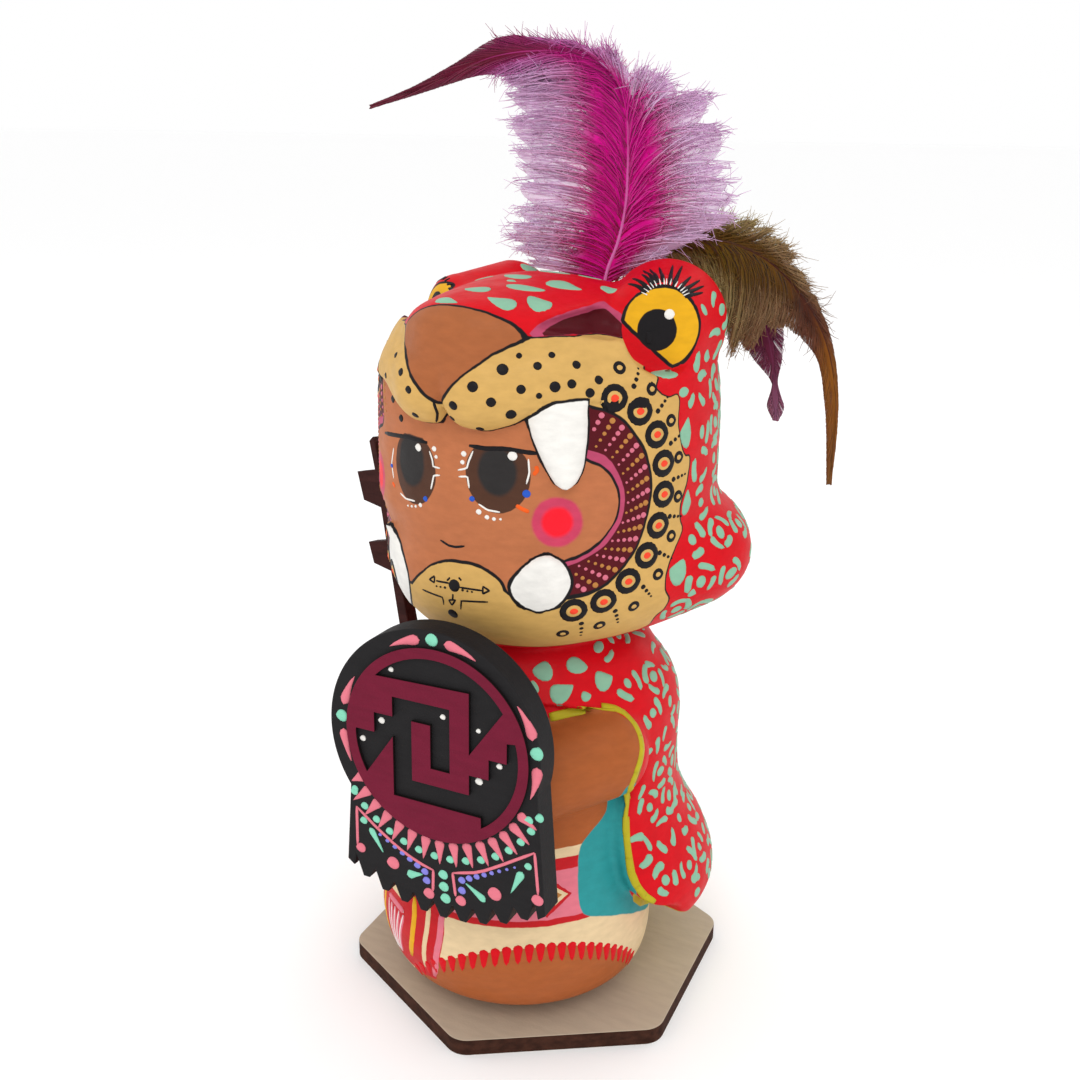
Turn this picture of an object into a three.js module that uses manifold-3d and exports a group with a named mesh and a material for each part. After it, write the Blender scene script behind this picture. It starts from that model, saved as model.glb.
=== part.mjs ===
// A hand-painted clay warrior figurine in a big-cat helmet and a cape, glued to a hexagonal board.
// It holds a round shield with a toothed fringe and a small club, and three dyed feathers stand in its head.
// Millimetres, +Z up. The figure faces -Y. The origin is the middle of the board's underside.
import * as THREE from 'three';
import Module from 'manifold-3d';
import { mergeVertices } from 'three/addons/utils/BufferGeometryUtils.js';

const wasm = await Module();
wasm.setup();

// Driving dimensions
const GLUE_GAP = 0.3;
const BOARD = { thickness: 3, acrossCorners: 68.6, cornerRadius: 4, turn: 5.5 };
const GROUND = BOARD.thickness + GLUE_GAP;
const NET_CELL = 3.15;

// Heights in the figure are measured from its underside
const BODY = {
  radii: [[-6, 8], [0, 15], [1.5, 17.8], [3, 19.8], [5, 22], [8, 23.2], [13, 23.8], [20, 23.2], [30, 21], [40, 19.6], [50, 18.6], [58, 17], [66, 14]],
  lean: [[-6, -7.4], [5, -7.4], [15, -8.5], [35, -7], [60, -3], [70, -1]],
};
const HEAD = { middle: [0, 0.5, 91.8], radius: 28.1, halfHeight: 27.6, squareness: 4 };
const JAW = { middle: [0, -9, 76], radii: [22, 19.6, 13] };
const CREST = {
  top: [[-33, 119.2], [-31, 119.7], [-24, 121], [-16, 121.9], [-4, 122.4], [6, 121], [14, 118.8]],
  fall: [[-30, 0.03], [-24, 0.02], [-4, 0.009], [12, 0.012]],
  rightFall: 0.011,
  halfWidth: [[-31, 9.6], [-28, 11.4], [-24, 13], [-18, 14.6], [-12, 15.6], [-6, 14.6], [10, 14.6]],
  noseBulge: [[0, 3.6], [8, 3.3], [16, 1.8], [24, 0], [60, 0], [90, -6]],
  noseBottom: 106,
};
const LOBES = {
  height: 107.6,
  top: 116.8,
  topInset: 4,
  seam: -1.5,
  lowerEdge: [[0, 104.6], [3, 102.6], [6, 102.1], [12, 102], [16, 102.5], [21, 103.4], [27, 105.4], [31, 106.3], [36, 106.5], [60, 106]],
  bulge: [[0, 3], [1.6, 3.9], [8, 4.4], [14, 3.9], [21, 2.4], [30, 1.2], [45, 0.5], [55, 0], [66, -0.6], [84, -8]],
  skullFrom: 30,
  skullBy: 54,
};
const SNOUT_HOLLOW = { front: [11.8, -23.4, 117.1], back: [17.2, -13.8, 117.2], frontRadius: 0.7, backRadius: 4.2, flatness: 1.5 };
const HELMET_EYES = {
  left: { face: [22, -5.4, 115.6], faceRadius: 7.6, turn: 40, dome: [18, 5.4, 115], domeRadius: 9.7 },
  right: { face: [-19.6, -3, 114.6], faceRadius: 6, turn: -34, dome: [-12.6, 9, 114.8], domeRadius: 7.6 },
};
const HELMET_EYE_OUT = 4.2;
const EYE_RECESS = { radius: 6.6, depth: 3.5 };
const HOOD_FLARE = { height: 77.6, ringRadii: [15.5, 24], tubeRadius: 10.6, tubeHeight: 9.2, startsAt: 62, fullAt: 108 };
// Teeth: how far round each lies and how wide it is at each height, and how far it stands out
const UPPER_FANG_WIDTH = [[93.9, 0.3], [94.4, 1.3], [95.5, 2.1], [97.5, 3], [100, 3.7], [102, 4.2], [105, 4.6], [108, 4.6]];
const LOWER_FANG_WIDTH = [[74.6, 0.3], [75.1, 2], [76.5, 3.7], [78.5, 4.6], [80, 4.3], [82, 3], [83.2, 1.6], [83.8, 0.3]];
const RIGHT_LOWER_WIDTH = [[69.8, 0.3], [70.6, 2], [73, 4.4], [77, 5.4], [80, 4.2], [82, 2.2], [82.8, 0.3]];
const FANGS = [
  { degrees: [[94, 33.6], [96, 33.6], [100, 32.4], [105, 30.8]], halfWidth: UPPER_FANG_WIDTH, rise: 2 },
  { degrees: [[94, -72], [105, -72]], halfWidth: UPPER_FANG_WIDTH, rise: 1 },
  { degrees: [[74.7, 26.5], [78, 26.8], [82, 28.4], [83.6, 28.6]], halfWidth: LOWER_FANG_WIDTH, rise: 1.8 },
  { degrees: [[70, -30], [76, -31], [82, -38]], halfWidth: RIGHT_LOWER_WIDTH, rise: 1.5 },
];
const FANG_UNDER_LIP = 0.5;
const RIGHT_JAW_INSET = [[60, 0.8], [64, 0.8], [70, 1], [74, 1.6], [80, 1.8], [83, 1.2], [87, 0]];
const CAPE = {
  radii: [[8, 27], [13, 30.4], [19, 31.4], [25, 29.4], [30, 26.4], [35, 24.6], [41, 24], [50, 24], [55, 22.4], [59, 19.6], [64, 16.5]],
  frontEdge: [[14, 84], [19, 77], [21, 68], [24, 61.5], [28, 59.5], [34, 60.5], [38, 64], [42, 71], [48, 72.5], [52, 68], [54, 60], [55.6, 40], [57, 0], [66, 0]],
  bottom: 14.5,
  top: 63,
};
const ARMS = {
  left: { shoulder: [17.4, -12, 47], hand: [9, -26.2, 44], shoulderRadius: 8, handRadius: 6.4 },
  right: { shoulder: [-17, -12, 47], hand: [-15.5, -17.5, 47.5], shoulderRadius: 7.6, handRadius: 6 },
};
const SHIELD = {
  middle: [2.8, -33.5, 55.7], turn: 3, thickness: 4.9, rimRadius: 18.2, rimAside: -0.9,
  fringeMiddle: 0.8, fringeTopHalf: 16.6, fringeBottomHalf: 17.6, fringeCorner: -24, fringeReach: 29.6,
  teeth: 9, toothDepth: 2.5, cornerWidth: 1.7,
  discRadius: 15.7, discThickness: 0.6, fretRadius: 14, fretCell: 3.3, fretMiddle: [-0.7, 0.1],
};
const CLUB = {
  foot: [-16.4, -13, 45], top: [-30, -6.6, 92.6], thickness: 3,
  footWidth: 2.6, topWidth: 1.3, blades: [[25.2, 30.4], [36, 42.4]], bladeReach: 3.7, bladeTaper: 0.8,
};
const FEATHER_SOCKET = { middle: [3, 14, 116], radius: 3.6, depth: 8 };

// Small helpers
const lerp = (a, b, t) => a + (b - a) * t;
const clamp = (v, low, high) => Math.min(high, Math.max(low, v));
const smoothstep = (a, b, v) => { const t = clamp((v - a) / (b - a), 0, 1); return t * t * (3 - 2 * t); };
const radians = (degrees) => degrees * Math.PI / 180;

// A smooth curve through [place, value] pairs, flat beyond its ends
function through(pairs) {
  const slopes = pairs.map((p, i) => {
    const a = pairs[Math.max(i - 1, 0)];
    const b = pairs[Math.min(i + 1, pairs.length - 1)];
    return (b[1] - a[1]) / (b[0] - a[0]);
  });
  return (place) => {
    if (place <= pairs[0][0]) return pairs[0][1];
    const i = pairs.findIndex((p) => p[0] >= place);
    if (i < 0) return pairs[pairs.length - 1][1];
    const [x0, y0] = pairs[i - 1];
    const [x1, y1] = pairs[i];
    const h = x1 - x0;
    const t = (place - x0) / h;
    return y0 * (1 + 2 * t) * (1 - t) ** 2 + y1 * t * t * (3 - 2 * t)
      + h * (slopes[i - 1] * t * (1 - t) ** 2 - slopes[i] * t * t * (1 - t));
  };
}

// Fields are negative inside, in millimetres
const join = (a, b, blend) => {
  const h = clamp(0.5 + 0.5 * (b - a) / blend, 0, 1);
  return lerp(b, a, h) - blend * h * (1 - h);
};
const meet = (a, b, blend) => -join(-a, -b, blend);
const cut = (a, b, blend) => meet(a, -b, blend);

function ellipsoid([x, y, z], [cx, cy, cz], [rx, ry, rz]) {
  const p = Math.hypot((x - cx) / rx, (y - cy) / ry, (z - cz) / rz);
  const q = Math.hypot((x - cx) / rx ** 2, (y - cy) / ry ** 2, (z - cz) / rz ** 2);
  return q < 1e-9 ? -Math.min(rx, ry, rz) : p * (p - 1) / q;
}

function taperedRod([x, y, z], a, b, ra, rb) {
  const d = [b[0] - a[0], b[1] - a[1], b[2] - a[2]];
  const t = clamp(((x - a[0]) * d[0] + (y - a[1]) * d[1] + (z - a[2]) * d[2]) / (d[0] ** 2 + d[1] ** 2 + d[2] ** 2), 0, 1);
  return Math.hypot(x - a[0] - d[0] * t, y - a[1] - d[1] * t, z - a[2] - d[2] * t) - lerp(ra, rb, t);
}

const bodyRadius = through(BODY.radii);
const bodyLean = through(BODY.lean);
const capeRadius = through(CAPE.radii);
const capeFrontEdge = through(CAPE.frontEdge);
const crestTop = through(CREST.top);
const crestFall = through(CREST.fall);
const crestHalfWidth = through(CREST.halfWidth);
const noseBulge = through(CREST.noseBulge);
const lobeLowerEdge = through(LOBES.lowerEdge);
const lobeBulge = through(LOBES.bulge);
const rightJawInset = through(RIGHT_JAW_INSET);

function body([x, y, z]) {
  const round = (Math.hypot(x, y - bodyLean(z)) - bodyRadius(z)) * 0.9;
  return meet(round, Math.abs(z - 30.5) - 35.5, 4);
}

function arms(point) {
  const arm = ({ shoulder, hand, shoulderRadius, handRadius }) => taperedRod(point, shoulder, hand, shoulderRadius, handRadius);
  return Math.min(arm(ARMS.left), arm(ARMS.right));
}

// How many degrees a place is round from straight ahead, towards the left side or to either side
const degreesAbout = (middleY, x, y) => Math.atan2(x, middleY - y) * 180 / Math.PI;
const turnFromFront = (x, y) => Math.abs(degreesAbout(0, x, y));

function cape([x, y, z]) {
  const out = Math.hypot(x, y);
  const outside = (out - capeRadius(z)) * 0.85;
  const inFront = radians(capeFrontEdge(z) - turnFromFront(x, y)) * Math.max(out, 8) * 0.7;
  const ends = Math.max(CAPE.bottom - z, z - CAPE.top);
  return meet(meet(outside, inFront, 1.6), ends, 3);
}

// How far the right side of the lower face is drawn in
function rightInset(x, y, z) {
  const turned = degreesAbout(HEAD.middle[1], -x, y);
  return smoothstep(8, 45, turned) * (1 - smoothstep(75, 110, turned)) * rightJawInset(z);
}

function skull([x, y, z]) {
  const [cx, cy, cz] = HEAD.middle;
  const n = HEAD.squareness;
  const out = (Math.hypot(x - cx, y - cy) + rightInset(x, y, z)) / HEAD.radius;
  const up = Math.abs(z - cz) / HEAD.halfHeight;
  return ((out ** n + up ** n) ** (1 / n) - 1) * HEAD.radius * 0.9;
}

function skullRadiusAt(z) {
  const share = Math.abs(z - HEAD.middle[2]) / HEAD.halfHeight;
  return HEAD.radius * Math.max(0, 1 - share ** HEAD.squareness) ** (1 / HEAD.squareness);
}

// The top of the helmet's snout and forehead, down to the nose in front
function crest([x, y, z]) {
  const out = Math.hypot(x, y - HEAD.middle[1]);
  const wall = (out - HEAD.radius - noseBulge(Math.abs(degreesAbout(HEAD.middle[1], x, y)))) * 0.8;
  const fall = crestFall(y) + (x < 0 ? CREST.rightFall : 0);
  const roof = (z - crestTop(y) + fall * x * x) * 0.9;
  const sides = (Math.abs(x) - crestHalfWidth(y)) * 0.9;
  return meet(meet(meet(roof, wall, 3), sides, 2.4), CREST.noseBottom - z, 2);
}

// The two lobes over the mouth: a band round the front of the skull that bulges out, with a crisp lower edge
function lobes([x, y, z]) {
  const out = Math.hypot(x, y - HEAD.middle[1]);
  const turned = Math.abs(degreesAbout(HEAD.middle[1], x, y) - LOBES.seam);
  const upper = z > LOBES.height;
  const half = upper ? LOBES.top - LOBES.height : LOBES.height - lobeLowerEdge(turned);
  const rise = (z - LOBES.height) / half;
  const within = 1 - rise ** 2;
  const bulge = lobeBulge(turned);
  const inset = upper ? LOBES.topInset * rise ** 2 : 0;
  const base = lerp(HEAD.radius, skullRadiusAt(z), smoothstep(LOBES.skullFrom, LOBES.skullBy, turned));
  const offset = within < 0 ? 12 * within : Math.max(bulge, 0) * Math.sqrt(within);
  return (out - base - offset + inset - Math.min(bulge, 0)) * 0.7;
}

// The pit between the snout and the lobe below it, pointed towards the nose
function snoutHollow([x, y, z]) {
  const { front, back, frontRadius, backRadius, flatness } = SNOUT_HOLLOW;
  const raised = back[2] + (z - back[2]) * flatness;
  return taperedRod([Math.abs(x), y, raised], front, back, frontRadius, backRadius) / flatness;
}

function eyeRecess([x, y, z], { face, turn }) {
  const [nx, ny] = [Math.sin(radians(turn)), -Math.cos(radians(turn))];
  const ahead = (x - face[0]) * nx + (y - face[1]) * ny;
  const across = Math.hypot((y - face[1]) * nx - (x - face[0]) * ny, z - face[2]);
  return meet(across - EYE_RECESS.radius, Math.abs(ahead - EYE_RECESS.depth) - EYE_RECESS.depth, 1.5);
}

function helmetEye(point, { face, faceRadius, turn, dome, domeRadius }) {
  const [nx, ny] = [Math.sin(radians(turn)), -Math.cos(radians(turn))];
  const front = [face[0] - nx * HELMET_EYE_OUT, face[1] - ny * HELMET_EYE_OUT, face[2]];
  const round = taperedRod(point, front, dome, faceRadius, domeRadius);
  const ahead = (point[0] - face[0]) * nx + (point[1] - face[1]) * ny;
  return meet(round, ahead, 1);
}

function hoodFlare([x, y, z]) {
  const spread = smoothstep(HOOD_FLARE.startsAt, HOOD_FLARE.fullAt, turnFromFront(x, y));
  const ring = lerp(...HOOD_FLARE.ringRadii, spread);
  const out = (Math.hypot(x, y) - ring) / HOOD_FLARE.tubeRadius;
  const up = (z - HOOD_FLARE.height) / HOOD_FLARE.tubeHeight;
  return (Math.hypot(Math.max(out, 0), up) - 1) * HOOD_FLARE.tubeHeight * 0.9;
}

// A tooth lying on the skull
function fang([x, y, z], { placeRound, halfWidth, rise, low, high }) {
  const width = halfWidth(z);
  const turned = degreesAbout(HEAD.middle[1], x, y);
  const across = radians(turned - placeRound(z)) * HEAD.radius / width;
  const out = (Math.hypot(x, y - HEAD.middle[1]) + rightInset(x, y, z) - skullRadiusAt(z)) / rise;
  const side = (Math.hypot(across, out) - 1) * Math.min(width, rise) * 0.8;
  const lip = lobeLowerEdge(Math.abs(turned)) + FANG_UNDER_LIP;
  return meet(side, Math.max(low - z, z - Math.min(high, lip)), 0.3);
}

const fangs = FANGS.map(({ degrees, halfWidth, rise }) => ({
  placeRound: through(degrees), halfWidth: through(halfWidth), rise, low: halfWidth[0][0], high: halfWidth[halfWidth.length - 1][0],
}));

function head(point) {
  const jaw = ellipsoid(point, JAW.middle, JAW.radii) + rightInset(...point) * 0.7;
  let shape = join(skull(point), jaw, 1.5);
  shape = join(shape, crest(point), 1.2);
  shape = join(shape, hoodFlare(point), 3);
  shape = join(shape, lobes(point), 0.5);
  shape = cut(shape, snoutHollow(point), 0.6);
  for (const eye of Object.values(HELMET_EYES)) {
    shape = join(cut(shape, eyeRecess(point, eye), 1.2), helmetEye(point, eye), 1.5);
  }
  return fangs.reduce((whole, tooth) => join(whole, fang(point, tooth), 0.4), shape);
}

function figure(point) {
  const trunk = join(join(body(point), arms(point), 1.5), cape(point), 1.2);
  return join(trunk, head(point), 1);
}

// The closed surface where a field is zero, as a net of cells whose corners are then moved onto the surface
function netGeometry(field, low, high, cell) {
  const counts = low.map((v, k) => Math.ceil((high[k] - v) / cell) + 1);
  const [nx, ny, nz] = counts;
  const place = (i, j, k) => [low[0] + i * cell, low[1] + j * cell, low[2] + k * cell];
  const at = (i, j, k) => (k * ny + j) * nx + i;
  const values = new Float32Array(nx * ny * nz);
  for (let k = 0; k < nz; k++) for (let j = 0; j < ny; j++) for (let i = 0; i < nx; i++) {
    values[at(i, j, k)] = field(place(i, j, k));
  }
  fillPinches(values, counts, at);
  const corners = new Map();
  const positions = [];
  const cornerOf = (i, j, k) => {
    const key = at(i, j, k);
    if (!corners.has(key)) {
      corners.set(key, positions.length / 3);
      positions.push(...ontoSurface(field, cellMiddle(values, at, place, i, j, k), cell));
    }
    return corners.get(key);
  };
  const faces = [];
  const steps = [[1, 0, 0], [0, 1, 0], [0, 0, 1]];
  for (let k = 1; k < nz - 1; k++) for (let j = 1; j < ny - 1; j++) for (let i = 1; i < nx - 1; i++) {
    steps.forEach(([di, dj, dk], axis) => {
      const here = values[at(i, j, k)] < 0;
      if (here === values[at(i + di, j + dj, k + dk)] < 0) return;
      const [u, v] = [steps[(axis + 1) % 3], steps[(axis + 2) % 3]];
      const ring = [[0, 0], [1, 0], [1, 1], [0, 1]].map(([a, b]) => cornerOf(
        i - a * u[0] - b * v[0], j - a * u[1] - b * v[1], k - a * u[2] - b * v[2]));
      if (!here) ring.reverse();
      faces.push(ring[0], ring[1], ring[2], ring[0], ring[2], ring[3]);
    });
  }
  const geometry = new THREE.BufferGeometry();
  geometry.setAttribute('position', new THREE.Float32BufferAttribute(positions, 3));
  geometry.setIndex(faces);
  return geometry;
}

// Where two sheets of the surface would share a cell, the corner between them is filled
function fillPinches(values, [nx, ny, nz], at) {
  const pinched = ([a, b, c, d]) => values[a] < 0 === values[c] < 0 && values[b] < 0 === values[d] < 0
    && values[a] < 0 !== values[b] < 0;
  const lone = (inside) => (inside.length === 2 && (inside[0] ^ inside[1]) === 7);
  for (let changed = true; changed;) {
    changed = false;
    for (let k = 0; k < nz - 1; k++) for (let j = 0; j < ny - 1; j++) for (let i = 0; i < nx - 1; i++) {
      const cell = [0, 1, 2, 3, 4, 5, 6, 7].map((c) => at(i + (c & 1), j + (c >> 1 & 1), k + (c >> 2 & 1)));
      const sides = [[0, 1, 3, 2], [4, 5, 7, 6], [0, 1, 5, 4], [2, 3, 7, 6], [0, 2, 6, 4], [1, 3, 7, 5]];
      const inside = [0, 1, 2, 3, 4, 5, 6, 7].filter((c) => values[cell[c]] < 0);
      const outside = [0, 1, 2, 3, 4, 5, 6, 7].filter((c) => values[cell[c]] >= 0);
      if (!sides.some((side) => pinched(side.map((c) => cell[c]))) && !lone(inside) && !lone(outside)) continue;
      const nearest = outside.reduce((a, b) => (values[cell[a]] < values[cell[b]] ? a : b));
      values[cell[nearest]] = -0.01;
      changed = true;
    }
  }
}

// The mean of the places where a cell's edges cross the surface
function cellMiddle(values, at, place, i, j, k) {
  const sum = [0, 0, 0];
  let crossings = 0;
  for (let c = 0; c < 8; c++) for (const bit of [1, 2, 4]) {
    if (c & bit) continue;
    const d = c | bit;
    const [p, q] = [c, d].map((n) => [i + (n & 1), j + (n >> 1 & 1), k + (n >> 2 & 1)]);
    const [a, b] = [values[at(...p)], values[at(...q)]];
    if (a < 0 === b < 0) continue;
    const [from, to] = [place(...p), place(...q)];
    sum.forEach((_, n) => { sum[n] += lerp(from[n], to[n], a / (a - b)); });
    crossings++;
  }
  return sum.map((v) => v / crossings);
}

function ontoSurface(field, start, cell) {
  const point = [...start];
  const near = 0.05;
  for (let pass = 0; pass < 4; pass++) {
    const value = field(point);
    const slope = [0, 1, 2].map((n) => {
      const ahead = [...point];
      ahead[n] += near;
      return (field(ahead) - value) / near;
    });
    const steep = slope[0] ** 2 + slope[1] ** 2 + slope[2] ** 2;
    for (let n = 0; n < 3; n++) {
      const moved = point[n] - 0.8 * value * slope[n] / Math.max(steep, 0.1);
      point[n] = clamp(moved, start[n] - 0.45 * cell, start[n] + 0.45 * cell);
    }
  }
  return point;
}

// Solids for cutting and joining
function solidOf(geometry) {
  const bare = geometry.clone();
  bare.deleteAttribute('normal');
  bare.deleteAttribute('uv');
  const merged = mergeVertices(bare, 1e-4);
  return new wasm.Manifold(new wasm.Mesh({
    numProp: 3,
    vertProperties: new Float32Array(merged.attributes.position.array),
    triVerts: new Uint32Array(merged.index.array),
  }));
}

function geometryOf(solid) {
  const mesh = solid.getMesh();
  const geometry = new THREE.BufferGeometry();
  geometry.setAttribute('position', new THREE.Float32BufferAttribute(mesh.vertProperties, 3));
  geometry.setIndex([...mesh.triVerts]);
  geometry.computeVertexNormals();
  return geometry;
}

function piece(name, geometry, { color, roughness }) {
  const mesh = new THREE.Mesh(geometry, new THREE.MeshStandardMaterial({ color, roughness, metalness: 0 }));
  mesh.name = name;
  return mesh;
}

// The hexagonal board, with rounded corners
function boardGeometry() {
  const reach = BOARD.acrossCorners / 2 - BOARD.cornerRadius / Math.cos(Math.PI / 6);
  const outline = new THREE.Shape();
  for (let side = 0; side < 6; side++) {
    const angle = radians(BOARD.turn - 90 + 60 * side);
    outline.absarc(reach * Math.cos(angle), reach * Math.sin(angle), BOARD.cornerRadius, angle - Math.PI / 6, angle + Math.PI / 6);
  }
  return new THREE.ExtrudeGeometry(outline, { depth: BOARD.thickness, bevelEnabled: false, curveSegments: 3 });
}

function clayGeometry() {
  const net = netGeometry(figure, [-40.3, -40.2, -11.1], [40.4, 42.4, 131], NET_CELL);
  const below = new THREE.BoxGeometry(120, 120, 40).translate(0, 0, -20);
  const socket = new THREE.CylinderGeometry(FEATHER_SOCKET.radius, FEATHER_SOCKET.radius, FEATHER_SOCKET.depth * 2, 16)
    .rotateX(Math.PI / 2).translate(FEATHER_SOCKET.middle[0], FEATHER_SOCKET.middle[1], FEATHER_SOCKET.middle[2] + FEATHER_SOCKET.depth);
  let clay = solidOf(net).subtract(solidOf(below)).subtract(solidOf(socket));
  clay = clay.subtract(solidOf(clubGeometry(GLUE_GAP)));
  return geometryOf(clay).translate(0, 0, GROUND);
}

// The shield's outline in its own plane: a disc above, a wide toothed fringe below
function shieldOutline() {
  const { rimRadius, rimAside, fringeMiddle, fringeTopHalf, fringeBottomHalf, fringeCorner, fringeReach } = SHIELD;
  const { teeth, toothDepth, cornerWidth } = SHIELD;
  const leftTop = fringeMiddle - fringeTopHalf;
  const rightTop = fringeMiddle + fringeTopHalf - 0.6;
  const shoulder = (u) => Math.atan2(-Math.sqrt(rimRadius ** 2 - (u - rimAside) ** 2), u - rimAside);
  const sag = (u) => -Math.sqrt(fringeReach ** 2 - u ** 2);
  const outline = new THREE.Shape();
  outline.absarc(rimAside, 0, rimRadius, shoulder(rightTop), shoulder(leftTop) + Math.PI * 2, false);
  const leftBottom = fringeMiddle - fringeBottomHalf;
  const rightBottom = fringeMiddle + fringeBottomHalf;
  outline.lineTo(leftBottom, fringeCorner);
  outline.lineTo(leftBottom + cornerWidth * 0.7, fringeCorner - 0.9);
  const pitch = (rightBottom - leftBottom - 2 * cornerWidth) / teeth;
  for (let n = 0; n < teeth; n++) {
    const left = leftBottom + cornerWidth + n * pitch;
    const middle = left + pitch / 2;
    outline.lineTo(left, sag(left) + toothDepth);
    outline.lineTo(middle - pitch * 0.16, sag(middle));
    outline.lineTo(middle + pitch * 0.16, sag(middle));
    outline.lineTo(left + pitch - 0.1, sag(left + pitch) + toothDepth);
  }
  outline.lineTo(rightBottom - cornerWidth * 0.7, fringeCorner - 0.9);
  outline.lineTo(rightBottom, fringeCorner);
  return outline;
}

// A flat shape drawn in x and height becomes a board standing in the XZ plane, its front towards -Y
const standing = (shape, thickness, curveSegments = 16) => new THREE.ExtrudeGeometry(
  shape, { depth: thickness, bevelEnabled: false, curveSegments }).rotateX(Math.PI / 2);

function placedShield(geometry, forward) {
  const [x, y, z] = SHIELD.middle;
  return geometry.translate(0, -forward, 0).rotateZ(radians(SHIELD.turn)).translate(x, y, z + GROUND);
}

// The stepped fret's two openings, as corners on a square grid of its cells; between two places on the
// round edge, the edge itself is followed
const FRET_CRESCENT = { corners: [[2, 3], [2, 0]], arc: [[3.7, 2.4], [-3, 3]] };
const FRET_SPIRAL = {
  corners: [[-4, 0], [-3, 0], [-3, 1], [-2, 1], [-2, 2], [1, 2], [1, -1.15], [0, -1.15], [0, 1], [-1, 1], [-1, -2],
    [2, -2], [2, -1], [3, -1], [3, 0], [3.9, 0], [3.9, 1]],
  arc: [[4.1, 1], [2.6, -3.5]],
  tail: [[2.6, -3], [-2, -3], [-2, 0]],
  tailArc: [[-3.4, -2.1], [-4, -0.1]],
};

function fretPath({ corners, arc, tail = [], tailArc }) {
  const { fretCell, fretMiddle, fretRadius } = SHIELD;
  const place = ([u, v]) => new THREE.Vector2(fretMiddle[0] + u * fretCell, fretMiddle[1] + v * fretCell);
  const along = ([from, to], steps) => {
    const [a, b] = [place(from).angle(), place(to).angle()];
    const clockwise = tailArc || from[0] > 4;
    let sweep = b - a;
    if (clockwise && sweep > 0) sweep -= Math.PI * 2;
    if (!clockwise && sweep < 0) sweep += Math.PI * 2;
    return Array.from({ length: steps + 1 }, (_, n) => {
      const angle = a + sweep * n / steps;
      return new THREE.Vector2(fretRadius * Math.cos(angle), fretRadius * Math.sin(angle));
    });
  };
  const points = [...corners.map(place), ...along(arc, 10), ...tail.map(place)];
  return new THREE.Path(tailArc ? [...points, ...along(tailArc, 4)] : points);
}

function discGeometry() {
  const disc = new THREE.Shape();
  disc.absarc(0, 0, SHIELD.discRadius, 0, Math.PI * 2);
  disc.holes = [fretPath(FRET_CRESCENT), fretPath(FRET_SPIRAL)];
  return standing(disc, SHIELD.discThickness, 18);
}

// The club: a slim stick with two blades on its outer side, drawn from its foot and then leant
function clubOutline(grow) {
  const { foot, top, footWidth, topWidth, blades, bladeReach, bladeTaper } = CLUB;
  const length = Math.hypot(top[1] - foot[1], top[2] - foot[2]);
  const middle = (v) => (top[0] - foot[0]) * v / length;
  const half = (v) => lerp(footWidth, topWidth, v / length) / 2 + grow;
  const outline = [[middle(0) - half(0), -grow]];
  for (const [low, high] of blades) {
    const edge = (v) => middle(v) - half(v);
    outline.push([edge(low), low - grow], [edge(low) - bladeReach, low + bladeTaper - grow],
      [edge(high) - bladeReach, high - bladeTaper + grow], [edge(high), high + grow]);
  }
  outline.push([middle(length) - half(length), length - 0.8], [middle(length), length + grow]);
  outline.push([middle(length) + half(length), length - 0.8], [middle(0) + half(0), -grow]);
  return new THREE.Shape(outline.map(([x, v]) => new THREE.Vector2(x, v)));
}

function clubGeometry(grow = 0) {
  const [x, y, z] = CLUB.foot;
  const thickness = CLUB.thickness + 2 * grow;
  const lean = Math.atan2(CLUB.top[1] - y, CLUB.top[2] - z);
  return standing(clubOutline(grow), thickness).translate(0, thickness / 2, 0).rotateX(-lean).translate(x, y, z);
}

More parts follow.
